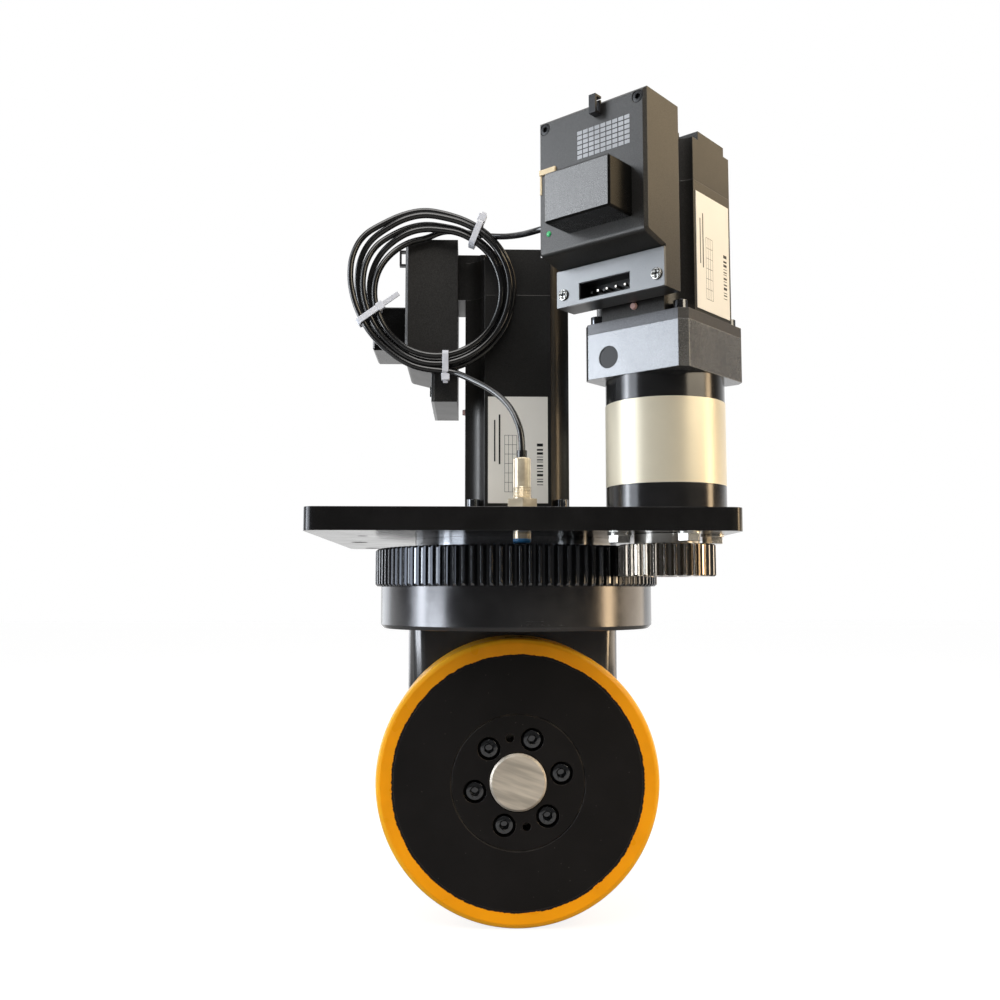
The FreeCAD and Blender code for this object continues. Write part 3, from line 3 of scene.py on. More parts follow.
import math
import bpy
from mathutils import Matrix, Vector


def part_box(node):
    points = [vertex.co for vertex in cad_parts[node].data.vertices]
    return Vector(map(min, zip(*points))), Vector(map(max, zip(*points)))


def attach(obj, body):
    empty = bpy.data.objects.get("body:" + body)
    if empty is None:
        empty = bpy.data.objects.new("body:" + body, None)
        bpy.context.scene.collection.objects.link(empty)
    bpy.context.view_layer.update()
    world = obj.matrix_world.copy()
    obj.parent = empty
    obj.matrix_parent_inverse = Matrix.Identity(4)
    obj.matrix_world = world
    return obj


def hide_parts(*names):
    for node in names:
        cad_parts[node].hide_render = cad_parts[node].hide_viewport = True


bl_info = {
    "name": "Drive Wheel Unit",
    "version": (1, 0, 0),
    "blender": (4, 5, 0),
    "location": "3D View > Sidebar > Drive Unit",
    "description": "Finishes, cord and small fittings of a steered drive wheel unit",
    "category": "Object",
}

import bmesh
import bpy
from bpy.props import FloatProperty, FloatVectorProperty, IntProperty, PointerProperty
from mathutils import Matrix, Vector

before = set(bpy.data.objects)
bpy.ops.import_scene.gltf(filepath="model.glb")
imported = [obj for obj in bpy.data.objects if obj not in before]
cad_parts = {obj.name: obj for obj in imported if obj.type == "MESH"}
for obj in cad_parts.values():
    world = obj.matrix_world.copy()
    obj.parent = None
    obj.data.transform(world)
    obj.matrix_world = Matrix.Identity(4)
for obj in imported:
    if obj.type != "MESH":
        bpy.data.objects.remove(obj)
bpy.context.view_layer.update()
MM = 0.001


def middle(node):
    """The middle of a CAD node's box, in metres."""
    low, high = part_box(node)
    return (low + high) / 2


WHEEL_CENTRE = middle("tyre")
WHEEL_R = (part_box("tyre")[1].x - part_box("tyre")[0].x) / 2
FLOOR_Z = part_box("tyre")[0].z
SENSOR_AXIS = middle("home_sensor")
SENSOR_LOW, SENSOR_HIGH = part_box("home_sensor")
NUT_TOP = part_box("sensor_nut")[1].z
PLATE_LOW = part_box("mounting_plate")[0].z
LEG_FRONT_Y = 38.0 * MM
LEG_CORNER = 18.0 * MM
LEG_CORNER_CUTS = 9

# how far each driver faces to the left, and its faces and sides in its own directions
DRIVER_TURNS = {"steering": math.radians(42.0), "traction": math.radians(90.0)}
CASE_FACE = 81.6 * MM
CASE_LEFT = -43.0 * MM
CASE_RIGHT = 39.0 * MM
PANEL_FACE = 62.3 * MM
MOTOR_HALF = 38.0 * MM
LABEL_PROUD = 0.4 * MM
OUTWARDS = Matrix.Rotation(math.radians(-90.0), 4, "X")

# screw heads: their radius and height, and the reach of the recess in them
CASE_SCREW = {"radius": 3.9 * MM, "height": 2.7 * MM, "recess": 1.9 * MM}
PANEL_SCREW = {"radius": 3.8 * MM, "height": 1.3 * MM, "recess": 3.1 * MM, "cross": True}
HUB_SCREW = {"radius": 6.3 * MM, "height": 8.0 * MM, "recess": 3.45 * MM}
HUB_SCREW_CIRCLE = 31.0 * MM
SCREW_INSET = 5.5 * MM
ROUND_SIDES = 24
THREAD_STEPS = 28

# points nearer to each other than this are one, and edges sharper than this stay sharp
JOINED = 0.001 * MM
SHARP = math.radians(35.0)


def tone(red, green, blue):
    """A colour given as on a screen, 0 to 255, as the linear value that a shader takes."""
    shares = (part / 255.0 for part in (red, green, blue))
    return tuple(s / 12.92 if s <= 0.04045 else ((s + 0.055) / 1.055) ** 2.4 for s in shares)


def opaque(red, green, blue):
    """Such a colour with its alpha, as a node's socket takes it."""
    return (*tone(red, green, blue), 1.0)


def colour_property(name, description, default):
    """A colour that a user may change."""
    return FloatVectorProperty(
        name=name, description=description, default=default, size=3, min=0.0, max=1.0, subtype="COLOR"
    )


def length_property(name, description, default):
    """A length in metres that a user may change."""
    return FloatProperty(
        name=name, description=description, default=default, min=0.0, unit="LENGTH", precision=5
    )


class DRIVEUNIT_PG_sizes(bpy.types.PropertyGroup):
    cord_diameter: length_property("Cord diameter", "Outside of the sensor's cord", 4.4 * MM)
    tie_width: length_property("Tie width", "Width of a tie's strap", 4.4 * MM)
    tie_thickness: length_property("Tie thickness", "Thickness of a tie's strap", 1.2 * MM)
    coil_turns: FloatProperty(
        name="Coil turns", description="How often the cord goes round its coil", default=4.6, min=1.0
    )
    coil_steps: IntProperty(
        name="Coil steps", description="Points on each turn of the coil", default=24, min=12
    )
    thread_pitch: length_property("Thread pitch", "Pitch of the sensor's thread", 1.0 * MM)
    edge_round: length_property("Edge rounding", "Radius by which an edge is broken", 0.55 * MM)


class DRIVEUNIT_PG_colours(bpy.types.PropertyGroup):
    black: colour_property("Satin black", "The mounting plate", tone(66, 66, 67))
    gloss: colour_property("Gloss black", "The leg behind the wheel", tone(90, 90, 91))
    oxide: colour_property("Black oxide", "Gears and fasteners", tone(112, 114, 118))
    steel: colour_property("Bright steel", "Ground and turned steel", tone(196, 190, 182))
    sleeve: colour_property("Nickel sleeve", "The gearbox's ring sleeve", tone(230, 222, 200))
    adapter: colour_property("Grey aluminium", "Adapter of the steering motor", tone(138, 139, 141))
    motor: colour_property("Motor paint", "Motors and their rear housings", tone(64, 63, 62))
    case: colour_property("Case paint", "Cases of the motor drivers", tone(74, 73, 72))
    flange: colour_property("Flange paint", "Flanges of the motors", tone(92, 92, 94))
    hood: colour_property("Hood paint", "Hoods of the motor drivers", tone(106, 105, 104))
    panel: colour_property("Panel grey", "Connector panels", tone(120, 121, 122))
    tyre: colour_property("Polyurethane", "The wheel's tyre", tone(255, 166, 10))
    film: colour_property("Label film", "Bare labels on the motors", tone(234, 231, 224))
    nylon: colour_property("White nylon", "Cable ties", tone(226, 228, 236))
    rubber: colour_property("Cord rubber", "Sheath of the cord", tone(24, 24, 25))
    nickel: colour_property("Nickel plate", "The sensor and its nuts", tone(240, 226, 200))


def sizes():
    """The sizes that a user may change."""
    return bpy.context.scene.drive_unit_sizes


def colours():
    """The colours that a user may change."""
    return bpy.context.scene.drive_unit_colours


class Signal:
    """One socket of a material's nodes. Arithmetic on it adds Math nodes."""

    def __init__(self, nodes, socket):
        self.nodes = nodes
        self.socket = socket

    def math(self, operation, *values):
        return self.nodes.node("Math", {"operation": operation}, dict(enumerate(values)))

    def __add__(self, other):
        return self.math("ADD", self, other)

    __radd__ = __add__

    def __sub__(self, other):
        return self.math("SUBTRACT", self, other)

    def __rsub__(self, other):
        return self.math("SUBTRACT", other, self)

    def __mul__(self, other):
        return self.math("MULTIPLY", self, other)

    __rmul__ = __mul__

    def ramp(self, low, high):
        """0 below low, 1 above high, and smooth in between."""
        settings = {"interpolation_type": "SMOOTHSTEP"}
        return self.nodes.node("MapRange", settings, {"Value": self, "From Min": low, "From Max": high})


class Nodes:
    """A node tree being made, with the one way in which a node is added to it."""

    def __init__(self, tree):
        self.tree = tree

    def plug(self, socket, value):
        if isinstance(value, Signal):
            self.tree.links.new(value.socket, socket)
        else:
            socket.default_value = value

    def node(self, kind, settings=None, values=None, output=0):
        node = self.tree.nodes.new("ShaderNode" + kind)
        for name, setting in (settings or {}).items():
            setattr(node, name, setting)
        for name, value in (values or {}).items():
            self.plug(node.inputs[name], value)
        return Signal(self, node.outputs[output])


class Finish(Nodes):
    """A material being made, with its shader and the signals that feed it."""

    def __init__(self, name, colour, roughness, metallic=0.0, **constants):
        self.material = bpy.data.materials.new(name)
        self.material.use_nodes = True
        super().__init__(self.material.node_tree)
        self.shader = self.tree.nodes["Principled BSDF"]
        self.fed = {}
        self.colour = (*colour, 1.0)
        self.set("Base Color", self.colour)
        self.set("Roughness", roughness)
        self.set("Metallic", metallic)
        for socket, value in constants.items():
            self.set(socket.replace("_", " "), value)

    def set(self, name, value):
        self.fed[name] = value
        self.plug(self.shader.inputs[name], value)

    def place(self):
        """Where a point lies on the object, in metres."""
        return self.node("TexCoord", output="Object")

    def axis(self, name):
        """One of X, Y and Z of that place."""
        return self.node("SeparateXYZ", {}, {"Vector": self.place()}, output=name)

    def turned_place(self, centre, angles, stretch):
        """The place measured from a centre, in turned directions, and drawn out along them."""
        values = {"Vector": self.place(), "Location": tuple(centre), "Rotation": angles, "Scale": stretch}
        return self.node("Mapping", {"vector_type": "TEXTURE"}, values)

    def vector(self, operation, *values, output="Vector"):
        return self.node("VectorMath", {"operation": operation}, dict(enumerate(values)), output)

    def dot(self, first, second):
        return self.vector("DOT_PRODUCT", first, second, output="Value")

    def distance(self, centre, weights=(1.0, 1.0, 1.0)):
        """How far the place is from a centre, with a weight for each direction."""
        offset = self.vector("SUBTRACT", self.place(), tuple(centre))
        return self.vector("LENGTH", self.vector("MULTIPLY", offset, weights), output="Value")

    def noise(self, scale, detail=2.0, roughness=0.5, where=None):
        values = {"Scale": scale, "Detail": detail, "Roughness": roughness}
        return self.node("TexNoise", {}, {"Vector": where or self.place(), **values})

    def specks(self, scale, share):
        """Sparse small spots: 1 in a spot and 0 elsewhere."""
        cells = self.node("TexVoronoi", {}, {"Vector": self.place(), "Scale": scale, "Randomness": 1.0})
        return 1.0 - cells.ramp(share * 0.6, share)

    def blend(self, share, low, high):
        """From colour low at 0 to colour high at 1."""
        values = {0: share, 6: low, 7: high}
        return self.node("Mix", {"data_type": "RGBA"}, values, output=2)

    def shade(self, factor):
        """The finish's own colour, darker or lighter."""
        grey = tuple(part * factor for part in self.colour[:3])
        return (*grey, 1.0)

    def rounded(self, radius):
        """A normal that turns round the edges as a broken edge does."""
        return self.node("Bevel", {"samples": 6}, {"Radius": radius})

    def edges(self, radius):
        """1 on an edge and 0 away from it."""
        facing = self.dot(self.rounded(radius), self.node("NewGeometry", output="Normal"))
        return (1.0 - facing).ramp(0.01, 0.16)

    def relief(self, height, depth, normal=None):
        """A bump of a given depth, in metres, over a normal."""
        values = {"Height": height, "Distance": depth, "Strength": 1.0}
        if normal is not None:
            values["Normal"] = normal
        self.set("Normal", self.node("Bump", {}, values))


def worn_with_painted_highlight(name, colour, metallic, rough, grain, depth, wear_and_highlight=0.5, radius=None, mottle=0.14, **constants):
    """A hard finish: fine grain, cloudy tint and gloss, and edges painted paler, as rubbed wear and as a
    painted highlight.
    """
    finish = Finish(name, colour, rough, metallic, **constants)
    radius = radius or sizes().edge_round
    cloud = finish.noise(38.0, 4.0, 0.6)
    fine = finish.noise(grain, 3.0, 0.65)
    # edges painted paler: partly rubbed wear, partly a painted highlight
    edge = finish.edges(radius) * finish.noise(160.0, 3.0, 0.7).ramp(0.3, 0.6)
    tint = finish.blend(cloud.ramp(0.3, 0.75), finish.shade(1.0 - mottle), finish.shade(1.0 + mottle))
    finish.set("Base Color", finish.blend(edge * wear_and_highlight, tint, finish.shade(1.0 + 12.0 * mottle)))
    finish.set("Roughness", (cloud - 0.5) * mottle + (fine - 0.5) * 0.10 + rough)
    finish.relief(fine, depth, finish.rounded(radius))
    return finish


def satin_black():
    """The plate: black aluminium with a soft sheen, dark where the room is dark."""
    return worn_with_painted_highlight("Satin black anodised", colours().black, 0.85, 0.19, 1400.0, 0.008 * MM)


def gloss_black():
    """The leg: smooth black that mirrors the window on its round corners."""
    return worn_with_painted_highlight("Gloss black", colours().gloss, 0.9, 0.18, 1400.0, 0.006 * MM, 0.4)


def gearbox_black():
    """The gearbox's end housings: black above the plate, with a bright turned nose below it."""
    finish = worn_with_painted_highlight("Gearbox black", tone(80, 80, 81), 0.85, 0.17, 1400.0, 0.008 * MM)
    nose = 1.0 - finish.axis("Z").ramp(PLATE_LOW - 0.6 * MM, PLATE_LOW - 0.2 * MM)
    finish.set("Base Color", finish.blend(nose, finish.fed["Base Color"], opaque(214, 210, 204)))
    finish.set("Metallic", 0.85 - nose * 0.5)
    return finish


def turned_black():
    """Turret ring: blackened and finely turned, so that it shows bands of light."""
    finish = Finish("Turned black", tone(93, 93, 95), 0.22, 0.95)
    rings = finish.noise(420.0, 2.0, 0.5, finish.turned_place((0, 0, 0), (0, 0, 0), (50.0, 50.0, 0.16)))
    smear = finish.noise(22.0, 5.0, 0.65)
    finish.set("Roughness", rings * 0.06 + smear.ramp(0.35, 0.8) * 0.10 + 0.15)
    finish.set("Base Color", finish.blend(smear.ramp(0.3, 0.8), finish.shade(0.88), finish.shade(1.2)))
    finish.relief(rings, 0.005 * MM, finish.rounded(0.8 * MM))
    return finish


def black_oxide():
    """Gears and screws: black oxide with a faint blue, and edges painted paler, as rubbed wear and as a
    painted highlight.
    """
    return worn_with_painted_highlight("Black oxide", colours().oxide, 0.95, 0.11, 1500.0, 0.003 * MM, 0.5, 0.3 * MM, 0.08)


def bright_steel():
    """Pinions, shafts and bearing parts: ground steel with a warm tint."""
    return worn_with_painted_highlight("Ground steel", colours().steel, 1.0, 0.16, 1100.0, 0.006 * MM, 0.3, 0.25 * MM, 0.06)


def brushed_steel():
    """The axle's end: faced steel with broad slanting bands and fine scratches."""
    finish = Finish("Brushed axle end", tone(212, 203, 190), 0.3, 0.3)
    slant = (0.0, math.radians(20.0), 0.0)
    band = finish.noise(120.0, 3.0, 0.6, finish.turned_place(WHEEL_CENTRE, slant, (9.0, 1.0, 1.0)))
    hair = finish.noise(1500.0, 4.0, 0.7, finish.turned_place(WHEEL_CENTRE, slant, (30.0, 1.0, 1.0)))
    finish.set("Base Color", finish.blend(band.ramp(0.36, 0.62), finish.shade(0.66), finish.shade(1.1)))
    finish.set("Roughness", band * 0.14 + hair * 0.16 + 0.2)
    finish.relief(hair, 0.02 * MM, finish.rounded(0.5 * MM))
    return finish


def nickel_sleeve():
    """The gearbox's sleeve: blasted and plated, matt and warm."""
    return worn_with_painted_highlight("Blasted nickel", colours().sleeve, 0.45, 0.36, 2600.0, 0.02 * MM, 0.2, 0.3 * MM, 0.02)


def grey_aluminium():
    """The adapter: hard anodised, smooth enough to mirror the window."""
    return worn_with_painted_highlight("Grey anodised", colours().adapter, 0.85, 0.27, 2600.0, 0.012 * MM, 0.6, None, 0.05)


def flecked(name, colour, rough, radius=0.4 * MM):
    """Charcoal paint over metal, with pale and dark flecks, and a painted highlight along its edges."""
    finish = Finish(name, colour, rough, 0.75)
    fleck = finish.noise(2400.0, 1.0, 0.5)
    cloud = finish.noise(60.0, 3.0, 0.6)
    # edges painted paler: a painted highlight
    edge = finish.edges(radius)
    ground = finish.blend(fleck.ramp(0.38, 0.66), finish.shade(0.78), finish.shade(1.2))
    finish.set("Base Color", finish.blend(edge * 0.4, ground, finish.shade(2.0)))
    finish.set("Roughness", cloud * 0.08 + fleck * 0.08 + rough - 0.08)
    finish.relief(fleck, 0.02 * MM, finish.rounded(radius))
    return finish


def housing_paint():
    """Rear housings of the motors: charcoal, bright where it faces a window."""
    return flecked("Flecked charcoal", colours().motor, 0.36)


def case_paint():
    """Driver cases: the same charcoal, a little paler."""
    return flecked("Pale charcoal", colours().case, 0.36)


def flange_paint():
    """Motor flanges: paler again, between the motors' charcoal and the adapter's grey."""
    return flecked("Flange charcoal", colours().flange, 0.36)


def motor_paint():
    """Motor bodies: the same charcoal, drawn smooth round their corners."""
    return flecked("Drawn charcoal", colours().motor, 0.30, 0.8 * MM)


def hood_paint_with_painted_shade():
    """Driver hoods: a paler and smoother front, and painted shade that makes every other face near black.
    """
    finish = flecked("Smooth charcoal", colours().hood, 0.26)
    normal = finish.node("NewGeometry", output="True Normal")
    front = 0.0
    for name in DRIVER_TURNS:
        front = finish.dot(normal, tuple(driver_frame(name).col[1].xyz)).ramp(0.85, 0.95) + front
    # painted shade: every face that doesn't face out from a driver is near black
    finish.set("Base Color", finish.blend(front, finish.shade(0.07), finish.fed["Base Color"]))
    return finish


def panel_paint():
    """Connector panels: paler grey paint on sheet metal."""
    return worn_with_painted_highlight("Pale grey paint", colours().panel, 0.75, 0.30, 2400.0, 0.02 * MM, 0.7, 0.35 * MM, 0.05)


def polyurethane():
    """The tyre: cast amber polyurethane, with primer creeping over its inner edge, and a painted
    highlight, paler amber, near its outer rim.
    """
    depth = {"Subsurface_Weight": 0.1, "Subsurface_Radius": (0.006, 0.0025, 0.0008)}
    finish = Finish("Cast polyurethane", colours().tyre, 0.3, 0.0, Specular_IOR_Level=0.25, **depth)
    cloud = finish.noise(30.0, 3.0, 0.55)
    fine = finish.noise(700.0, 2.0, 0.5)
    radius = finish.distance(WHEEL_CENTRE, (1.0, 0.0, 1.0))
    ragged = finish.noise(330.0, 3.0, 0.7) * 2.2 * MM + finish.noise(60.0, 2.0, 0.5) * 1.6 * MM
    edge_r = WHEEL_R - 12.9 * MM
    primer = 1.0 - (radius - ragged).ramp(edge_r - 0.15 * MM, edge_r + 0.15 * MM)
    warm = finish.blend(cloud.ramp(0.3, 0.7), finish.shade(0.93), finish.shade(1.05))
    # paler amber towards the outer rim: a painted highlight
    rim = radius.ramp(WHEEL_R - 4.2 * MM, WHEEL_R - 1.2 * MM)
    pale = finish.blend(rim * 0.5, warm, opaque(255, 200, 60))
    inner = 1.0 - radius.ramp(edge_r, edge_r + 3.5 * MM)
    deep = finish.blend(inner * 0.55, pale, opaque(242, 126, 6))
    finish.set("Base Color", finish.blend(primer, deep, opaque(20, 19, 20)))
    finish.set("Roughness", cloud * 0.14 + primer * 0.2 + 0.22)
    finish.relief(fine * 0.3 + cloud, 0.04 * MM, finish.rounded(1.2 * MM))
    return finish


def hub_black():
    """The wheel's disc: dull black with faint turning marks, a few specks, and a painted highlight on its
    edges.
    """
    finish = Finish("Dull black disc", tone(17, 15, 16), 0.5, 0.0, Specular_IOR_Level=0.3)
    radius = finish.distance(WHEEL_CENTRE)
    rings = finish.noise(900.0, 2.0, 0.5, finish.node("CombineXYZ", {}, {"X": radius}))
    cloud = finish.noise(26.0, 4.0, 0.6)
    dust = finish.specks(150.0, 0.055)
    ground = finish.blend(cloud.ramp(0.3, 0.75), finish.shade(0.8), finish.shade(1.25))
    # edges painted a pale warm grey: a painted highlight
    edge = finish.edges(0.4 * MM) * finish.noise(90.0, 2.0, 0.5).ramp(0.35, 0.65)
    lit = finish.blend(edge * 0.6, ground, opaque(120, 110, 96))
    finish.set("Base Color", finish.blend(dust * 0.35, lit, opaque(120, 118, 112)))
    finish.set("Roughness", cloud * 0.12 + rings * 0.1 + 0.34)
    finish.relief(rings * 0.5 + cloud, 0.02 * MM, finish.rounded(0.5 * MM))
    return finish


def label_film():
    """Bare labels: warm white film, a little glossy and slightly uneven."""
    return worn_with_painted_highlight("Label film", colours().film, 0.0, 0.3, 2500.0, 0.006 * MM, 0.2, 0.1 * MM, 0.015)


def white_nylon():
    """Ties: milky nylon that lets some light in."""
    depth = {"Subsurface_Weight": 0.2, "Subsurface_Radius": (0.002, 0.002, 0.002)}
    return worn_with_painted_highlight("Milky nylon", colours().nylon, 0.0, 0.33, 900.0, 0.02 * MM, 0.2, 0.2 * MM, **depth)


def cord_rubber():
    """The cord's sheath: soft black with a fine matt skin."""
    finish = Finish("Cord sheath", colours().rubber, 0.25, 0.0, Specular_IOR_Level=1.0)
    skin = finish.noise(1800.0, 2.0, 0.5)
    cloud = finish.noise(45.0, 3.0, 0.6)
    finish.set("Base Color", finish.blend(cloud.ramp(0.3, 0.75), finish.shade(0.7), finish.shade(1.3)))
    finish.set("Roughness", cloud * 0.10 + skin * 0.06 + 0.10)
    finish.relief(skin, 0.01 * MM)
    return finish


def black_plastic():
    """Clips, plugs and sockets: moulded black."""
    gloss = {"Specular_IOR_Level": 0.45}
    return worn_with_painted_highlight("Moulded black", tone(22, 22, 24), 0.0, 0.40, 1600.0, 0.03 * MM, 0.6, 0.3 * MM, **gloss)


def nickel_plate():
    """The sensor and its nuts: bright nickel, with a blue face at the sensor's lower end."""
    finish = Finish("Nickel plate", colours().nickel, 0.2, 0.55)
    finish.relief(finish.noise(1200.0, 3.0, 0.65), 0.01 * MM, finish.rounded(0.25 * MM))
    face = 1.0 - finish.axis("Z").ramp(SENSOR_LOW.z + 2.4 * MM, SENSOR_LOW.z + 2.7 * MM)
    cloud = finish.noise(120.0, 3.0, 0.6)
    metal = finish.blend(cloud.ramp(0.3, 0.75), finish.shade(0.8), finish.shade(1.1))
    finish.set("Base Color", finish.blend(face, metal, opaque(60, 140, 205)))
    finish.set("Metallic", 0.55 - face * 0.55)
    finish.set("Roughness", cloud * 0.12 + face * 0.2 + 0.12)
    return finish


def zinc_plate():
    """Bolts under the plate: bright zinc."""
    return worn_with_painted_highlight("Zinc plate", tone(208, 207, 203), 0.75, 0.24, 900.0, 0.012 * MM, 0.3, 0.3 * MM)


def zinc_with_painted_shade(frame):
    """Screws on a connector panel: zinc heads, with painted shade, black, in the cross and under the rim.
    """
    finish = worn_with_painted_highlight("Recessed zinc", tone(208, 207, 203), 0.75, 0.24, 900.0, 0.012 * MM, 0.3, 0.2 * MM)
    out = frame.col[1].xyz
    base = frame.translation.dot(out) + PANEL_FACE
    # painted shade: black and not metallic below this height, in the cross and under the rim
    above_painted_shade = finish.dot(finish.place(), tuple(out)).ramp(base + 0.75 * MM, base + 1.0 * MM)
    finish.set("Base Color", finish.blend(above_painted_shade, opaque(12, 12, 12), finish.fed["Base Color"]))
    finish.set("Metallic", above_painted_shade * 0.75)
    return finish


def bronze():
    """Bushes: warm turned bronze."""
    return worn_with_painted_highlight("Turned bronze", tone(176, 124, 66), 1.0, 0.32, 1000.0, 0.012 * MM, 0.3, 0.3 * MM)


def plain_colour(name, colour, rough):
    """Small moulded fittings in one colour, with the grain of moulded plastic."""
    return worn_with_painted_highlight(name, colour, 0.0, rough, 1500.0, 0.02 * MM, 0.3, 0.15 * MM)


def both(part):
    """A part's nodes on the two drives."""
    return " ".join(f"{name}_{part}" for name in DRIVER_TURNS)


NODE_FINISHES = {
    satin_black: "mounting_plate",
    gloss_black: "leg_housing leg_cover",
    gearbox_black: "gearbox_output_housing gearbox_input_housing",
    turned_black: "turret_ring traction_reducer",
    black_oxide: (
        "slewing_inner_race slewing_race_screws ring_gear ring_gear_screws leg_screws leg_cover_screws "
        "hub_screws reducer_screws motor_flange_bolts driver_screws"
    ),
    bright_steel: (
        "slewing_rollers axle_bearing_outer_rings axle_bearing_inner_rings axle_bearing_rollers "
        "axle_bevel_gear mid_shaft mid_spur_wheel traction_pinion steering_pinion gearbox_output_shaft "
        "pinion_retainer"
    ),
    brushed_steel: "axle",
    nickel_sleeve: "gearbox_ring_sleeve",
    grey_aluminium: "motor_adapter",
    housing_paint: both("motor_rear_housing"),
    case_paint: both("driver_case"),
    flange_paint: both("motor_flange"),
    motor_paint: both("motor_body"),
    hood_paint_with_painted_shade: both("driver_hood"),
    panel_paint: both("connector_panel"),
    polyurethane: "tyre",
    hub_black: "wheel_hub",
    label_film: "motor_labels",
    cord_rubber: "axle_seal sensor_boot",
    black_plastic: "cable_clips adapter_plug sensor_cable_gland",
    nickel_plate: "home_sensor sensor_nut",
    zinc_plate: "gearbox_bolts",
    bronze: "mid_shaft_bushes",
}


def paint(obj, finish):
    """One finish all over an object."""
    obj.data.materials.clear()
    obj.data.materials.append(finish.material)


def added(name, data):
    """A new object in the scene."""
    obj = bpy.data.objects.new(name, data)
    bpy.context.scene.collection.objects.link(obj)
    return obj


def piece(name, bm, body, finish, bevel=0.0):
    """A finished piece from a bmesh: joined, turned outwards, smooth, and riding on its body."""
    bmesh.ops.remove_doubles(bm, verts=bm.verts, dist=JOINED)
    bmesh.ops.recalc_face_normals(bm, faces=bm.faces)
    mesh = bpy.data.meshes.new(name)
    bm.to_mesh(mesh)
    bm.free()
    obj = added(name, mesh)
    paint(obj, finish)
    if bevel:
        rounding = obj.modifiers.new("Edges", "BEVEL")
        rounding.width = bevel
        rounding.segments = 2
        rounding.limit_method = "ANGLE"
    mesh.shade_smooth()
    mesh.set_sharp_from_angle(angle=SHARP)
    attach(obj, body)
    return obj


def brick(bm, low, high):
    """A block between two corners."""
    low, high = Vector(low), Vector(high)
    size = Matrix.Diagonal((*(high - low), 1.0))
    bmesh.ops.create_cube(bm, size=1.0, matrix=Matrix.Translation((low + high) / 2) @ size)


def rod(bm, radius, top, length, matrix=Matrix.Identity(4)):
    """A round bar on the matrix's origin, along its Z, with a radius at each end."""
    made = bmesh.ops.create_cone(
        bm, cap_ends=True, segments=ROUND_SIDES, radius1=radius, radius2=top, depth=length,
        matrix=matrix @ Matrix.Translation((0, 0, length / 2)),
    )
    return made["verts"]


def screw_head(bm, frame, radius, height, recess, cross=False):
    """A screw's head along the frame's Z: a chamfered drum, a hexagon or a cross sunk in its end."""
    made = rod(bm, radius, radius, height)
    top = max((f for v in made for f in v.link_faces), key=lambda f: f.calc_center_median().z)
    rim = radius * 0.12
    bmesh.ops.bevel(
        bm, geom=list(top.edges), offset=rim, affect="EDGES", segments=2, profile=0.5, material=-1
    )
    top = max(bm.faces, key=lambda f: (round(f.calc_center_median().z, 7), f.calc_area()))
    bmesh.ops.inset_region(bm, faces=[top], thickness=rim)
    start = math.atan2(top.verts[0].co.y, top.verts[0].co.x)
    for vert in top.verts:
        angle = math.atan2(vert.co.y, vert.co.x) - start
        if cross:
            number = round(angle / math.tau * ROUND_SIDES) % ROUND_SIDES
            vert.co.x, vert.co.y = cross_outline(number, recess)
        else:
            reach = recess * math.cos(math.pi / 6) / math.cos((angle % (math.pi / 3)) - math.pi / 6)
            vert.co.x, vert.co.y = reach * math.cos(angle), reach * math.sin(angle)
    sunk = bmesh.ops.extrude_face_region(bm, geom=[top])
    bmesh.ops.delete(bm, geom=[top], context="FACES_ONLY")
    floor = [v for v in sunk["geom"] if isinstance(v, bmesh.types.BMVert)]
    bmesh.ops.translate(bm, vec=(0, 0, -height * 0.6), verts=floor)
    if cross:
        bmesh.ops.scale(bm, vec=(0.6, 0.6, 1.0), verts=floor)
    bmesh.ops.transform(bm, matrix=frame, verts=bm.verts)


def cross_outline(number, reach):
    """A point of the outline of a cross recess, counted from the middle of an arm's end."""
    arm, step = divmod(number, ROUND_SIDES // 4)
    narrow = reach * 0.26
    wide = narrow * 1.5
    x = (reach, reach, wide, narrow, narrow, narrow)[step]
    y = (0.0, narrow, narrow, narrow, wide, reach)[step]
    turn = arm * math.pi / 2
    return x * math.cos(turn) - y * math.sin(turn), x * math.sin(turn) + y * math.cos(turn)


def screws(name, places, body, finish, slot, radius, height, recess, cross=False):
    """Several equal screw heads as one piece."""
    whole = bmesh.new()
    for place in places:
        bm = bmesh.new()
        screw_head(bm, place, radius, height, recess, cross)
        part = bpy.data.meshes.new(name)
        bmesh.ops.recalc_face_normals(bm, faces=bm.faces)
        bm.to_mesh(part)
        bm.free()
        whole.from_mesh(part)
        bpy.data.meshes.remove(part)
    return piece(name, whole, body, finish)


def driver_frame(name):
    """A driver's own directions: across, out from the motor, and up from the motor's top seam."""
    turn = DRIVER_TURNS[name]
    axis = middle(f"{name}_motor_flange")
    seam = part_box(f"{name}_motor_rear_housing")[0].z
    across = Vector((math.cos(turn), -math.sin(turn), 0))
    out = Vector((-math.sin(turn), -math.cos(turn), 0))
    frame = Matrix((across, out, Vector((0, 0, 1)))).transposed().to_4x4()
    frame.translation = (axis.x, axis.y, seam)
    return frame


# the cord's route, in millimetres: its two leads, and the coil's turns by angle and radius
LEAD_FROM_SENSOR = (
    (0.3, -91.0, 40.5), (0.3, -91.0, 50.0), (-2.4, -88.6, 60.5), (-6.6, -83.6, 70.0),
    (-13.0, -76.8, 79.0), (-21.5, -69.0, 87.0), (-31.5, -60.5, 93.8), (-40.3, -53.8, 99.4),
    (-48.0, -49.6, 102.6),
)
LEAD_TO_DRIVER = (
    (-55.0, -43.2, 207.3), (-43.5, -39.8, 208.3), (-31.5, -37.4, 207.4), (-20.5, -40.4, 204.8),
    (-11.0, -49.5, 201.4), (-4.0, -60.5, 198.2), (2.5, -72.0, 195.4), (7.3, -83.0, 193.0),
    (12.24, -92.48, 191.3), (18.93, -98.5, 191.3),
)
COIL_CENTRE = (-61.5, -46.1, 161.8)
COIL_START = -75.0
COIL_LEAD_IN = 24.0
COIL_LEAD_OUT = 16.0
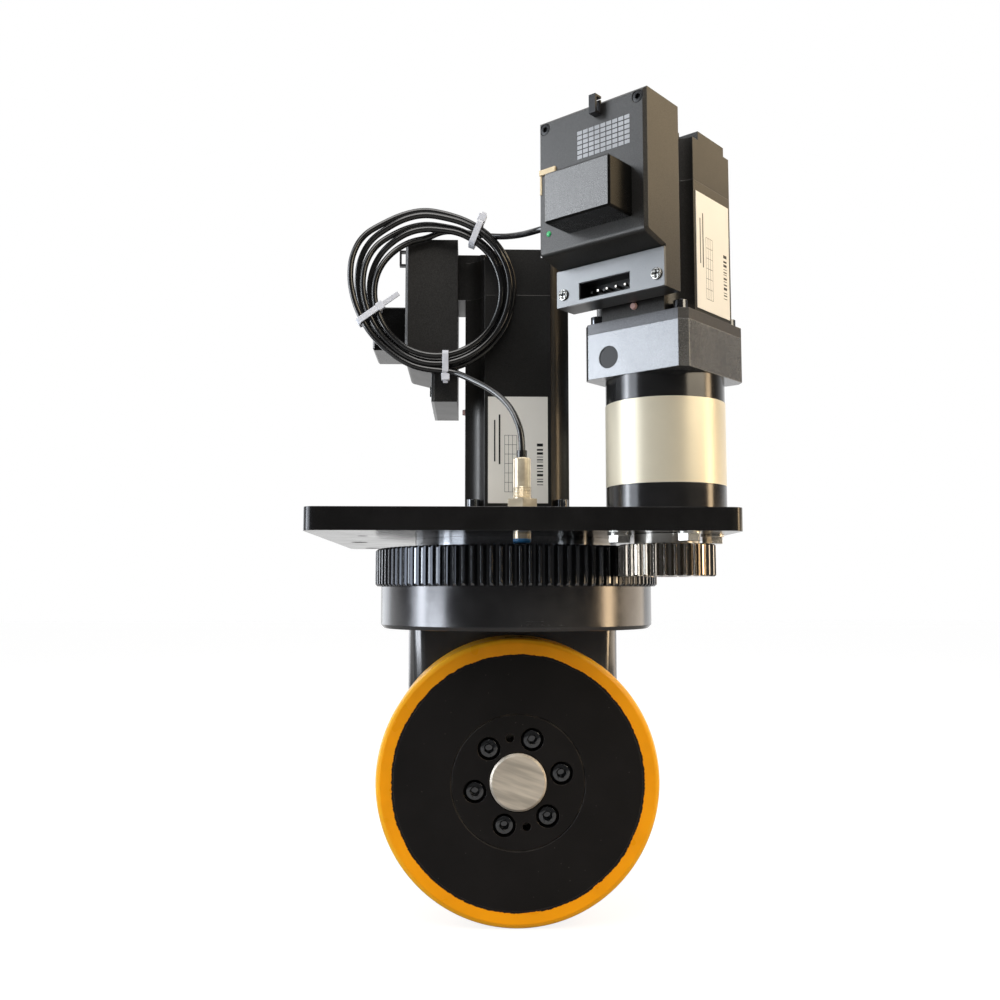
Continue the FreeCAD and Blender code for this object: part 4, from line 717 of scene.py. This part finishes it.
# degrees round the coil from its start: its left and right sides, and each turn's change of layer
LEFT_SIDE = 107.0
RIGHT_SIDE = 287.0
CROSSING = (118.0, 180.0)
LAYER_STEP = 2.65
OUTER_RADII = (
    (-75, 58.4), (-95, 58.2), (-110, 55.8), (-127, 54.0), (-150, 54.2), (-180, 57.2), (-193, 60.6),
    (-207, 63.6), (-220, 64.8), (-237, 61.6), (-261, 61.6), (-285, 58.6), (-321, 59.2), (-345, 59.4),
    (-375, 58.0), (-400, 57.8), (-435, 58.4),
)
INNER_RADII = (
    (-75, 48.6), (-95, 47.4), (-113, 46.2), (-141, 43.4), (-163, 42.2), (-180, 41.8), (-195, 41.4),
    (-222, 41.4), (-248, 42.6), (-277, 43.0), (-301, 46.2), (-325, 48.6), (-350, 49.6), (-375, 49.8),
    (-400, 49.4), (-417, 49.2), (-435, 48.6),
)


def between(table, angle):
    """A radius read from a short table by angle, eased from each entry to the next."""
    for (a, low), (b, high) in zip(table, table[1:]):
        if b <= angle <= a:
            share = (a - angle) / (a - b)
            return low + (high - low) * (share * share * (3 - 2 * share))
    return table[-1][1]


def eased(degrees):
    """0 at none and 1 at 180 degrees, with a slow start and end."""
    return 0.5 - 0.5 * math.cos(math.radians(degrees))


def coil_points():
    """The coil's turns, clockwise from the outside in: tight at the right, fanned at the left."""
    points = []
    step = 360.0 / sizes().coil_steps
    wound = COIL_LEAD_IN
    last = sizes().coil_turns * 360.0 - COIL_LEAD_OUT
    while wound <= last:
        turn, part = divmod(wound, 360.0)
        angle = COIL_START - part
        # strands lie four abreast at the right and five abreast at the left
        left, right = turn / 4.0, turn / 3.0
        if part < LEFT_SIDE:
            before = (turn - 1.0) / 3.0 if turn else 0.0
            share = before + (left - before) * eased(part - RIGHT_SIDE + 360.0)
        elif part < RIGHT_SIDE:
            share = left + (right - left) * eased(part - LEFT_SIDE)
        else:
            after = (turn + 1.0) / 4.0
            share = right + (after - right) * eased(part - RIGHT_SIDE)
        radius = between(OUTER_RADII, angle) * (1 - share) + between(INNER_RADII, angle) * share
        crossed = (part - CROSSING[0]) / (CROSSING[1] - CROSSING[0])
        side = math.cos(math.pi * min(max(crossed, 0.0), 1.0)) * (-1 if turn % 2 == 0 else 1)
        x = COIL_CENTRE[0] + radius * math.cos(math.radians(angle))
        z = COIL_CENTRE[2] + radius * math.sin(math.radians(angle))
        points.append((x, COIL_CENTRE[1] + side * LAYER_STEP, z))
        wound += step
    return points


class DRIVEUNIT_OT_cord(bpy.types.Operator):
    """The sensor's cord: up from the sensor, round its coil and over to the driver"""

    bl_idname = "drive_unit.cord"
    bl_label = "Sensor cord"

    def execute(self, context):
        route = [Vector(p) * MM for p in (*LEAD_FROM_SENSOR, *coil_points(), *LEAD_TO_DRIVER)]
        curve = bpy.data.curves.new("sensor_cord", "CURVE")
        curve.dimensions = "3D"
        spline = curve.splines.new("NURBS")
        spline.points.add(len(route) - 1)
        for point, place in zip(spline.points, route):
            point.co = (*place, 1.0)
        spline.order_u = 3
        spline.use_endpoint_u = True
        spline.resolution_u = 6
        curve.bevel_depth = sizes().cord_diameter / 2
        curve.bevel_resolution = 4
        curve.use_fill_caps = True
        cord = added("sensor_cord", curve)
        paint(cord, cord_rubber())
        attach(cord, "root")
        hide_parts("cable_lead_sensor", "cable_coil", "cable_lead_driver")
        return {"FINISHED"}


# each tie's place round the coil and its lean
TIE_LEANS = {53.7: 15.0, 202.0: 14.0, -79.7: -10.0}
TIE_HEAD_INSIDE = 202.0


class DRIVEUNIT_OT_ties(bpy.types.Operator):
    """Three white ties round the coil, each with its head and cut tail"""

    bl_idname = "drive_unit.ties"
    bl_label = "Cable ties"

    def execute(self, context):
        nylon = white_nylon()
        for number, angle in enumerate(TIE_LEANS, 1):
            bm = bmesh.new()
            self.strap(bm, angle)
            tie = piece(f"cable_tie_{number}", bm, "root", nylon, 0.15 * MM)
        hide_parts("cable_ties")
        return {"FINISHED"}

    def strap(self, bm, angle):
        """A strap bent round the strands, with its head and a cut tail at one side of them."""
        turn = math.radians(angle)
        wound = angle if angle < COIL_START else angle - 360.0
        half = sizes().cord_diameter / 2 / MM
        inner = between(INNER_RADII, wound) - half - 0.5
        outer = between(OUTER_RADII, wound) + half + 0.5
        radial = Vector((math.cos(turn), 0, math.sin(turn)))
        along = Vector((-math.sin(turn), 0, math.cos(turn)))
        frame = Matrix((radial, Vector((0, 1, 0)), along)).transposed().to_4x4()
        spread = Vector(((outer + inner) / 2 * MM, 0, 0))
        lean = Matrix.Rotation(math.radians(-TIE_LEANS[angle]), 4, "Y")
        frame.translation = Vector(COIL_CENTRE) * MM
        frame = frame @ Matrix.Translation(spread) @ lean @ Matrix.Translation(-spread)
        width, thick = sizes().tie_width / 2, sizes().tie_thickness
        deep = (LAYER_STEP + half + 0.35) * MM
        ring = bmesh.ops.create_cube(bm, size=1.0)["verts"]
        bmesh.ops.scale(bm, vec=((outer - inner) * MM, 2 * deep, 2 * width), verts=ring)
        bmesh.ops.translate(bm, vec=((outer + inner) / 2 * MM, 0, 0), verts=ring)
        corners = [e for e in bm.edges if abs(e.verts[0].co.z - e.verts[1].co.z) > width]
        bmesh.ops.bevel(
            bm, geom=corners, offset=2.0 * MM, affect="EDGES", segments=4, profile=0.5, material=-1
        )
        caps = [f for f in bm.faces if abs(f.normal.z) > 0.9]
        bmesh.ops.delete(bm, geom=caps, context="FACES")
        bmesh.ops.recalc_face_normals(bm, faces=bm.faces)
        bmesh.ops.solidify(bm, geom=bm.faces[:], thickness=-thick)
        # from where to where the head and the tail reach, outwards and backwards, in millimetres
        if angle == TIE_HEAD_INSIDE:
            edge, head, tail = inner * MM, (-3.6, 1.2, -1.6, 2.6), (-17.0, -3.0, -0.2, 0.9)
        else:
            edge, head, tail = outer * MM + thick * 0.6, (-0.4, 4.4, -0.4, 4.6), (4.0, 6.4, 1.2, 2.3)
        for reach, half_width in ((head, width + 0.7 * MM), (tail, width * 0.8)):
            near, far, front, back = (part * MM for part in reach)
            brick(bm, (edge + near, front - deep, -half_width), (edge + far, back - deep, half_width))
        bmesh.ops.transform(bm, matrix=frame, verts=bm.verts)


class DRIVEUNIT_OT_finishes(bpy.types.Operator):
    """The finish of every part that comes from the CAD frame"""

    bl_idname = "drive_unit.finishes"
    bl_label = "Part finishes"

    def execute(self, context):
        for make, names in NODE_FINISHES.items():
            finish = make()
            for name in names.split():
                paint(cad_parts[name], finish)
        return {"FINISHED"}


class DRIVEUNIT_OT_leg(bpy.types.Operator):
    """The leg behind the wheel, its front corners rounded broadly enough to catch the light"""

    bl_idname = "drive_unit.leg"
    bl_label = "Leg corners"

    def execute(self, context):
        # the CAD node's mesh with its triangles joined and its flat faces made whole
        bm = bmesh.new()
        bm.from_mesh(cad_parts["leg_housing"].data)
        bmesh.ops.remove_doubles(bm, verts=bm.verts, dist=0.002 * MM)
        bmesh.ops.dissolve_limit(bm, angle_limit=math.radians(0.5), verts=bm.verts, edges=bm.edges)
        low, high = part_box("leg_housing")
        for side, edge in ((-1.0, low.x), (1.0, high.x)):
            centre = Vector((edge - side * LEG_CORNER, LEG_FRONT_Y + LEG_CORNER, 0.0))
            for number in range(1, LEG_CORNER_CUTS):
                turn = math.pi / 2 * number / LEG_CORNER_CUTS
                outward = Vector((side * math.sin(turn), -math.cos(turn), 0.0))
                cut = bmesh.ops.bisect_plane(
                    bm, geom=bm.verts[:] + bm.edges[:] + bm.faces[:], dist=JOINED,
                    plane_co=centre + outward * LEG_CORNER, plane_no=outward, clear_outer=True,
                )
                rim = [e for e in cut["geom_cut"] if isinstance(e, bmesh.types.BMEdge)]
                bmesh.ops.holes_fill(bm, edges=rim, sides=0)
        leg = piece("leg_rounded", bm, "turret", gloss_black())
        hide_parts("leg_housing")
        return {"FINISHED"}


BAR_WIDTHS = (0.5, 0.9, 0.5, 1.7, 0.9, 0.5, 1.3, 0.5, 0.9, 0.5, 1.7, 1.3, 2.1)
BAR_GAPS = (1.5, 1.1, 1.8, 1.3, 1.5, 1.1, 1.8, 0.9, 1.3) * 2


class DRIVEUNIT_OT_driver_fittings(bpy.types.Operator):
    """Screws, lamps, sockets and plain print on both motor drivers"""

    bl_idname = "drive_unit.driver_fittings"
    bl_label = "Driver fittings"

    def execute(self, context):
        cream = plain_colour("Cream nylon", tone(222, 200, 160), 0.4)
        green = plain_colour("Green lamp", tone(70, 196, 120), 0.25)
        rose = plain_colour("Rose ring", tone(232, 190, 184), 0.35)
        print_grey = plain_colour("Pale print", tone(168, 170, 174), 0.45)
        dark = black_plastic()
        nickel = bright_steel()
        for name in DRIVER_TURNS:
            frame = driver_frame(name)
            self.lamp(name, frame, green)
            self.service_socket(name, frame, cream)
            self.ring(name, frame, rose)
            self.print_grid(name, frame, print_grey)
            self.label_rules(name, frame, dark)
            self.power_socket(name, frame, dark, nickel)
            # socket screws in wells at the case's upper corners, and cross-head ones on the panel
            wells = self.screw_places(frame, CASE_FACE - 2.9 * MM, 34.9 * MM)
            screws(f"{name}_case_screws", wells, "root", dark, "black_oxide", **CASE_SCREW)
            spots = self.screw_places(frame, PANEL_FACE - 0.1 * MM, -70.85 * MM)
            zinc = zinc_with_painted_shade(frame)
            screws(f"{name}_panel_screws", spots, "root", zinc, "bright_steel", **PANEL_SCREW)
        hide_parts("driver_screws")
        return {"FINISHED"}

    def screw_places(self, frame, out, up):
        """Where two screws stand on a driver, one near each side."""
        sides = (CASE_LEFT + SCREW_INSET, CASE_RIGHT - SCREW_INSET)
        return [frame @ Matrix.Translation((side, out, up)) @ OUTWARDS for side in sides]

    def fitting(self, name, bm, frame, finish, slot, bevel=0.0):
        """A piece that is built in a driver's own directions."""
        bmesh.ops.transform(bm, matrix=frame, verts=bm.verts)
        piece(name, bm, "root", finish, bevel)

    def print_grid(self, name, frame, finish):
        """Plain rows of blank cells, where the case carries print."""
        bm = bmesh.new()
        bmesh.ops.create_grid(bm, x_segments=9, y_segments=6, size=0.5)
        bmesh.ops.scale(bm, vec=(40.0 * MM, 19.0 * MM, 1.0), verts=bm.verts)
        bmesh.ops.inset_individual(bm, faces=bm.faces[:], thickness=0.55 * MM)
        borders = [f for f in bm.faces if f.calc_area() < 6.0 * MM * MM]
        bmesh.ops.delete(bm, geom=borders, context="FACES")
        turn = Matrix.Translation((8.0 * MM, CASE_FACE + 0.02 * MM, 16.4 * MM)) @ OUTWARDS
        bmesh.ops.transform(bm, matrix=turn, verts=bm.verts)
        raised = bmesh.ops.extrude_face_region(bm, geom=bm.faces[:])
        fronts = [v for v in raised["geom"] if isinstance(v, bmesh.types.BMVert)]
        bmesh.ops.translate(bm, vec=(0, 0.03 * MM, 0), verts=fronts)
        self.fitting(f"{name}_case_print", bm, frame, finish, "label_film")

    def label_rules(self, name, frame, finish):
        """A blank table, two plain strokes and a row of plain bars, where a label carries its print."""
        local = [frame.inverted() @ v.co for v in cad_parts["motor_labels"].data.vertices]
        base = min(p.z for p in local if abs(p.x - MOTOR_HALF) < 1.0 * MM and abs(p.y) < 22.0 * MM) / MM
        # each rule's two sides and its lower and upper end, in millimetres from the label's foot
        rules = [(d, d + 0.25, 8.0, 49.0) for d in (0.8, 3.8, 6.6, 9.4)]
        rules += [(0.8, 9.6, h, h + 0.25) for h in (8.0, 14.8, 21.6, 28.4, 35.2, 42.0, 48.8)]
        rules += [(16.2, 17.2, 30.0, 60.0), (12.6, 13.8, 28.0, 64.0)]
        height = 13.0
        for thick, gap in zip(BAR_WIDTHS, BAR_GAPS):
            rules.append((-18.0, -13.6, height, height + thick))
            height += thick + gap
        face = MOTOR_HALF + LABEL_PROUD
        bm = bmesh.new()
        for d_low, d_high, h_low, h_high in rules:
            start = (face - 0.05 * MM, d_low * MM, (base + h_low) * MM)
            brick(bm, start, (face + 0.03 * MM, d_high * MM, (base + h_high) * MM))
        self.fitting(f"{name}_label_rules", bm, frame, finish, "label_film")

    def power_socket(self, name, frame, lining, metal):
        """Black lining and bright pins inside the power socket."""
        low = Vector((-25.0, 50.6, -76.4)) * MM
        high = Vector((14.0, PANEL_FACE / MM - 0.4, -65.3)) * MM
        clear = Vector((0.05, 0.0, 0.05)) * MM
        bm = bmesh.new()
        brick(bm, low + clear, high - clear)
        mouth = [f for f in bm.faces if f.calc_center_median().y > high.y - 0.01 * MM]
        bmesh.ops.delete(bm, geom=mouth, context="FACES")
        bmesh.ops.recalc_face_normals(bm, faces=bm.faces)
        bmesh.ops.solidify(bm, geom=bm.faces[:], thickness=0.5 * MM)
        self.fitting(f"{name}_socket_lining", bm, frame, lining, "black_plastic")
        bm = bmesh.new()
        for number in range(4):
            across = low.x + (high.x - low.x) * (0.28 + 0.177 * number)
            start = Vector((across, low.y, (low.z + high.z) / 2)) - Vector((0.9, 0.0, 0.9)) * MM
            brick(bm, start, start + Vector((1.8, 6.2, 1.8)) * MM)
        self.fitting(f"{name}_socket_pins", bm, frame, metal, "bright_steel", 0.25 * MM)

    def lamp(self, name, frame, finish):
        """A small domed lamp beside the hood."""
        bm = bmesh.new()
        dome = bmesh.ops.create_uvsphere(bm, u_segments=20, v_segments=12, radius=1.9 * MM)["verts"]
        bmesh.ops.scale(bm, vec=(1, 0.5, 1), verts=dome)
        bmesh.ops.translate(bm, vec=(-34.6 * MM, CASE_FACE, -35.6 * MM), verts=dome)
        self.fitting(f"{name}_lamp", bm, frame, finish, "black_plastic")

    def service_socket(self, name, frame, finish):
        """A cream socket's rim along the top and the side of the hood."""
        bm = bmesh.new()
        back = CASE_FACE - 0.2 * MM
        brick(bm, (-41.5 * MM, back, 4.2 * MM), (-28.5 * MM, CASE_FACE + 1.3 * MM, 7.8 * MM))
        brick(bm, (-41.5 * MM, back, -8.5 * MM), (-40.0 * MM, CASE_FACE + 0.5 * MM, 4.6 * MM))
        self.fitting(f"{name}_service_socket", bm, frame, finish, "white_nylon", 0.2 * MM)

    def ring(self, name, frame, finish):
        """A rose ring on the motor's flange, under the connector panel."""
        bm = bmesh.new()
        spot = Matrix.Translation((1.4 * MM, MOTOR_HALF, -80.3 * MM))
        rod(bm, 2.4 * MM, 1.9 * MM, 2.2 * MM, spot @ OUTWARDS)
        self.fitting(f"{name}_earth_ring", bm, frame, finish, "white_nylon", 0.2 * MM)


class DRIVEUNIT_OT_hub_screws(bpy.types.Operator):
    """Six socket screws in the wheel's disc"""

    bl_idname = "drive_unit.hub_screws"
    bl_label = "Hub screws"

    def execute(self, context):
        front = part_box("hub_screws")[0].y
        places = []
        for number in range(6):
            angle = math.radians(11.5 + 60.0 * number)
            spot = Vector((math.cos(angle), 0, math.sin(angle))) * HUB_SCREW_CIRCLE
            centre = Vector((WHEEL_CENTRE.x, front + HUB_SCREW["height"], WHEEL_CENTRE.z)) + spot
            spin = Matrix.Rotation(math.radians(23.0 * number), 4, "Z")
            places.append(Matrix.Translation(centre) @ Matrix.Rotation(math.radians(90.0), 4, "X") @ spin)
        heads = screws("hub_socket_screws", places, "wheel", black_oxide(), "black_oxide", **HUB_SCREW)
        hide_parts("hub_screws")
        return {"FINISHED"}


class DRIVEUNIT_OT_sensor_thread(bpy.types.Operator):
    """The thread cut on the sensor's barrel"""

    bl_idname = "drive_unit.sensor_thread"
    bl_label = "Sensor thread"

    def execute(self, context):
        bm = bmesh.new()
        pitch = sizes().thread_pitch
        radius = (SENSOR_HIGH.x - SENSOR_LOW.x) / 2
        start = NUT_TOP + 0.4 * MM
        turns = int(8.0 * MM / pitch)
        root, crest = radius - 0.05 * MM, radius + 0.3 * MM
        profile = ((root, 0.0), (crest, pitch * 0.5), (root, pitch))
        line = [bm.verts.new((SENSOR_AXIS.x + r, SENSOR_AXIS.y, start + z)) for r, z in profile]
        edges = [bm.edges.new(pair) for pair in zip(line, line[1:])]
        bmesh.ops.spin(
            bm, geom=line + edges, cent=SENSOR_AXIS, axis=(0, 0, 1), dvec=(0, 0, pitch / THREAD_STEPS),
            angle=math.tau * turns, steps=THREAD_STEPS * turns, use_merge=False,
        )
        piece("sensor_thread", bm, "root", nickel_plate())
        return {"FINISHED"}


# the camera, fitted to the photograph
CAMERA_PLACE = Vector((-33.5, -774.6, -54.2)) * MM
CAMERA_TURN = (math.pi / 2 + 0.090, 0.0, -0.028)
CAMERA_LENS = 37.31

# panes of light: place, width, height, brightness and colour
PANES = {
    "Window": ((-1.56, -0.32, 0.32), 1.05, 2.1, 3.0, tone(240, 247, 255)),
    "Bright pane": ((-1.48, -0.16, 0.14), 0.22, 1.3, 8.0, tone(244, 249, 255)),
    "Low pane": ((-1.40, -0.55, -0.19), 0.40, 0.17, 8.0, tone(244, 249, 255)),
    "Far pane": ((-1.0, 1.3, 0.2), 0.7, 1.6, 1.2, tone(240, 247, 255)),
    "Warm wall": ((1.42, 0.3, 1.1), 1.0, 0.85, 2.1, tone(255, 226, 180)),
    "Warm strip": ((1.46, -0.34, 0.0), 0.28, 0.8, 9.0, tone(255, 222, 176)),
    "Low wall": ((1.34, 0.48, -0.12), 0.95, 0.42, 1.8, tone(255, 232, 200)),
    "Warm key": ((1.25, -1.0, 0.85), 1.2, 1.1, 3.6, tone(255, 240, 212)),
    "Front fill": ((-0.3, -1.15, 1.8), 1.5, 1.5, 3.0, tone(255, 252, 248)),
    "Ceiling": ((0.0, -0.1, 1.6), 1.4, 1.4, 1.0, tone(255, 253, 250)),
}


class DRIVEUNIT_OT_stage(bpy.types.Operator):
    """Pale floor, plain backdrop, soft studio light and the camera"""

    bl_idname = "drive_unit.stage"
    bl_label = "Stage"

    def execute(self, context):
        self.camera()
        self.floor()
        self.world()
        for name, values in PANES.items():
            self.pane(name, *values)
        bpy.context.scene.view_settings.view_transform = "Standard"
        return {"FINISHED"}

    def camera(self):
        data = bpy.data.cameras.new("Camera")
        data.lens = CAMERA_LENS
        data.sensor_width = 36.0
        data.clip_start = 0.01
        camera = added("Camera", data)
        camera.location = CAMERA_PLACE
        camera.rotation_euler = CAMERA_TURN
        bpy.context.scene.camera = camera

    def floor(self):
        """A floor that looks white to the camera, and to metal where it lies behind the object."""
        bm = bmesh.new()
        bmesh.ops.create_grid(bm, x_segments=1, y_segments=1, size=8.0)
        mesh = bpy.data.meshes.new("Floor")
        bm.to_mesh(mesh)
        bm.free()
        floor = added("Floor", mesh)
        floor.location = (0, 0, FLOOR_Z - 0.2 * MM)
        finish = Finish("Pale floor", (0.2, 0.2, 0.2), 0.7)
        behind = finish.axis("Y").ramp(0.4, 1.4)
        seen = finish.node("LightPath", output="Is Camera Ray") * 0.84
        seen = seen + finish.node("LightPath", output="Is Glossy Ray") * behind * 0.9
        finish.set("Emission Strength", 1.0)
        finish.set("Emission Color", finish.blend(seen, opaque(0, 0, 0), opaque(255, 255, 255)))
        paint(floor, finish)

    def world(self):
        """White to the camera, white behind the object to metal, and an even light for the rest."""
        world = bpy.data.worlds.new("Studio")
        world.use_nodes = True
        bpy.context.scene.world = world
        nodes = Nodes(world.node_tree)
        seen = nodes.node("LightPath", output="Is Camera Ray")
        clear = seen + nodes.node("LightPath", output="Is Transmission Ray")
        glossy = nodes.node("LightPath", output="Is Glossy Ray")
        direction = nodes.node("TexCoord", output="Generated")
        behind = nodes.node("SeparateXYZ", {}, {"Vector": direction}, output="Y").ramp(0.15, 0.85)
        strength = clear + glossy * (behind * 0.955 + 0.045) + (1.0 - clear - glossy) * 0.4
        background = world.node_tree.nodes["Background"]
        nodes.plug(background.inputs["Color"], opaque(255, 255, 255))
        nodes.plug(background.inputs["Strength"], strength)

    def pane(self, name, place, width, height, radiance, colour):
        """A lit pane that faces the object."""
        data = bpy.data.lights.new(name, "AREA")
        data.shape = "RECTANGLE"
        data.size = width
        data.size_y = height
        data.energy = radiance * math.pi * width * height
        data.color = colour
        lamp = added(name, data)
        lamp.location = place
        lamp.rotation_euler = (-Vector(place)).to_track_quat("-Z", "Y").to_euler()


class DRIVEUNIT_PT_panel(bpy.types.Panel):
    bl_idname = "DRIVEUNIT_PT_panel"
    bl_label = "Drive Wheel Unit"
    bl_space_type = "VIEW_3D"
    bl_region_type = "UI"
    bl_category = "Drive Unit"

    def draw(self, context):
        for group in (context.scene.drive_unit_sizes, context.scene.drive_unit_colours):
            box = self.layout.box()
            for name in group.__annotations__:
                box.prop(group, name)
        for operator in OPERATORS:
            self.layout.operator(operator.bl_idname)


OPERATORS = (
    DRIVEUNIT_OT_stage,
    DRIVEUNIT_OT_cord,
    DRIVEUNIT_OT_ties,
    DRIVEUNIT_OT_finishes,
    DRIVEUNIT_OT_leg,
    DRIVEUNIT_OT_driver_fittings,
    DRIVEUNIT_OT_hub_screws,
    DRIVEUNIT_OT_sensor_thread,
)
CLASSES = (DRIVEUNIT_PG_sizes, DRIVEUNIT_PG_colours, *OPERATORS, DRIVEUNIT_PT_panel)


def register():
    for cls in CLASSES:
        bpy.utils.register_class(cls)
    bpy.types.Scene.drive_unit_sizes = PointerProperty(type=DRIVEUNIT_PG_sizes)
    bpy.types.Scene.drive_unit_colours = PointerProperty(type=DRIVEUNIT_PG_colours)


def unregister():
    del bpy.types.Scene.drive_unit_colours
    del bpy.types.Scene.drive_unit_sizes
    for cls in reversed(CLASSES):
        bpy.utils.unregister_class(cls)


def main():
    register()
    bpy.ops.drive_unit.stage()
    bpy.ops.drive_unit.cord()
    bpy.ops.drive_unit.ties()
    bpy.ops.drive_unit.finishes()
    bpy.ops.drive_unit.leg()
    bpy.ops.drive_unit.driver_fittings()
    bpy.ops.drive_unit.hub_screws()
    bpy.ops.drive_unit.sensor_thread()
    bpy.context.view_layer.update()


if __name__ == "__main__":
    main()
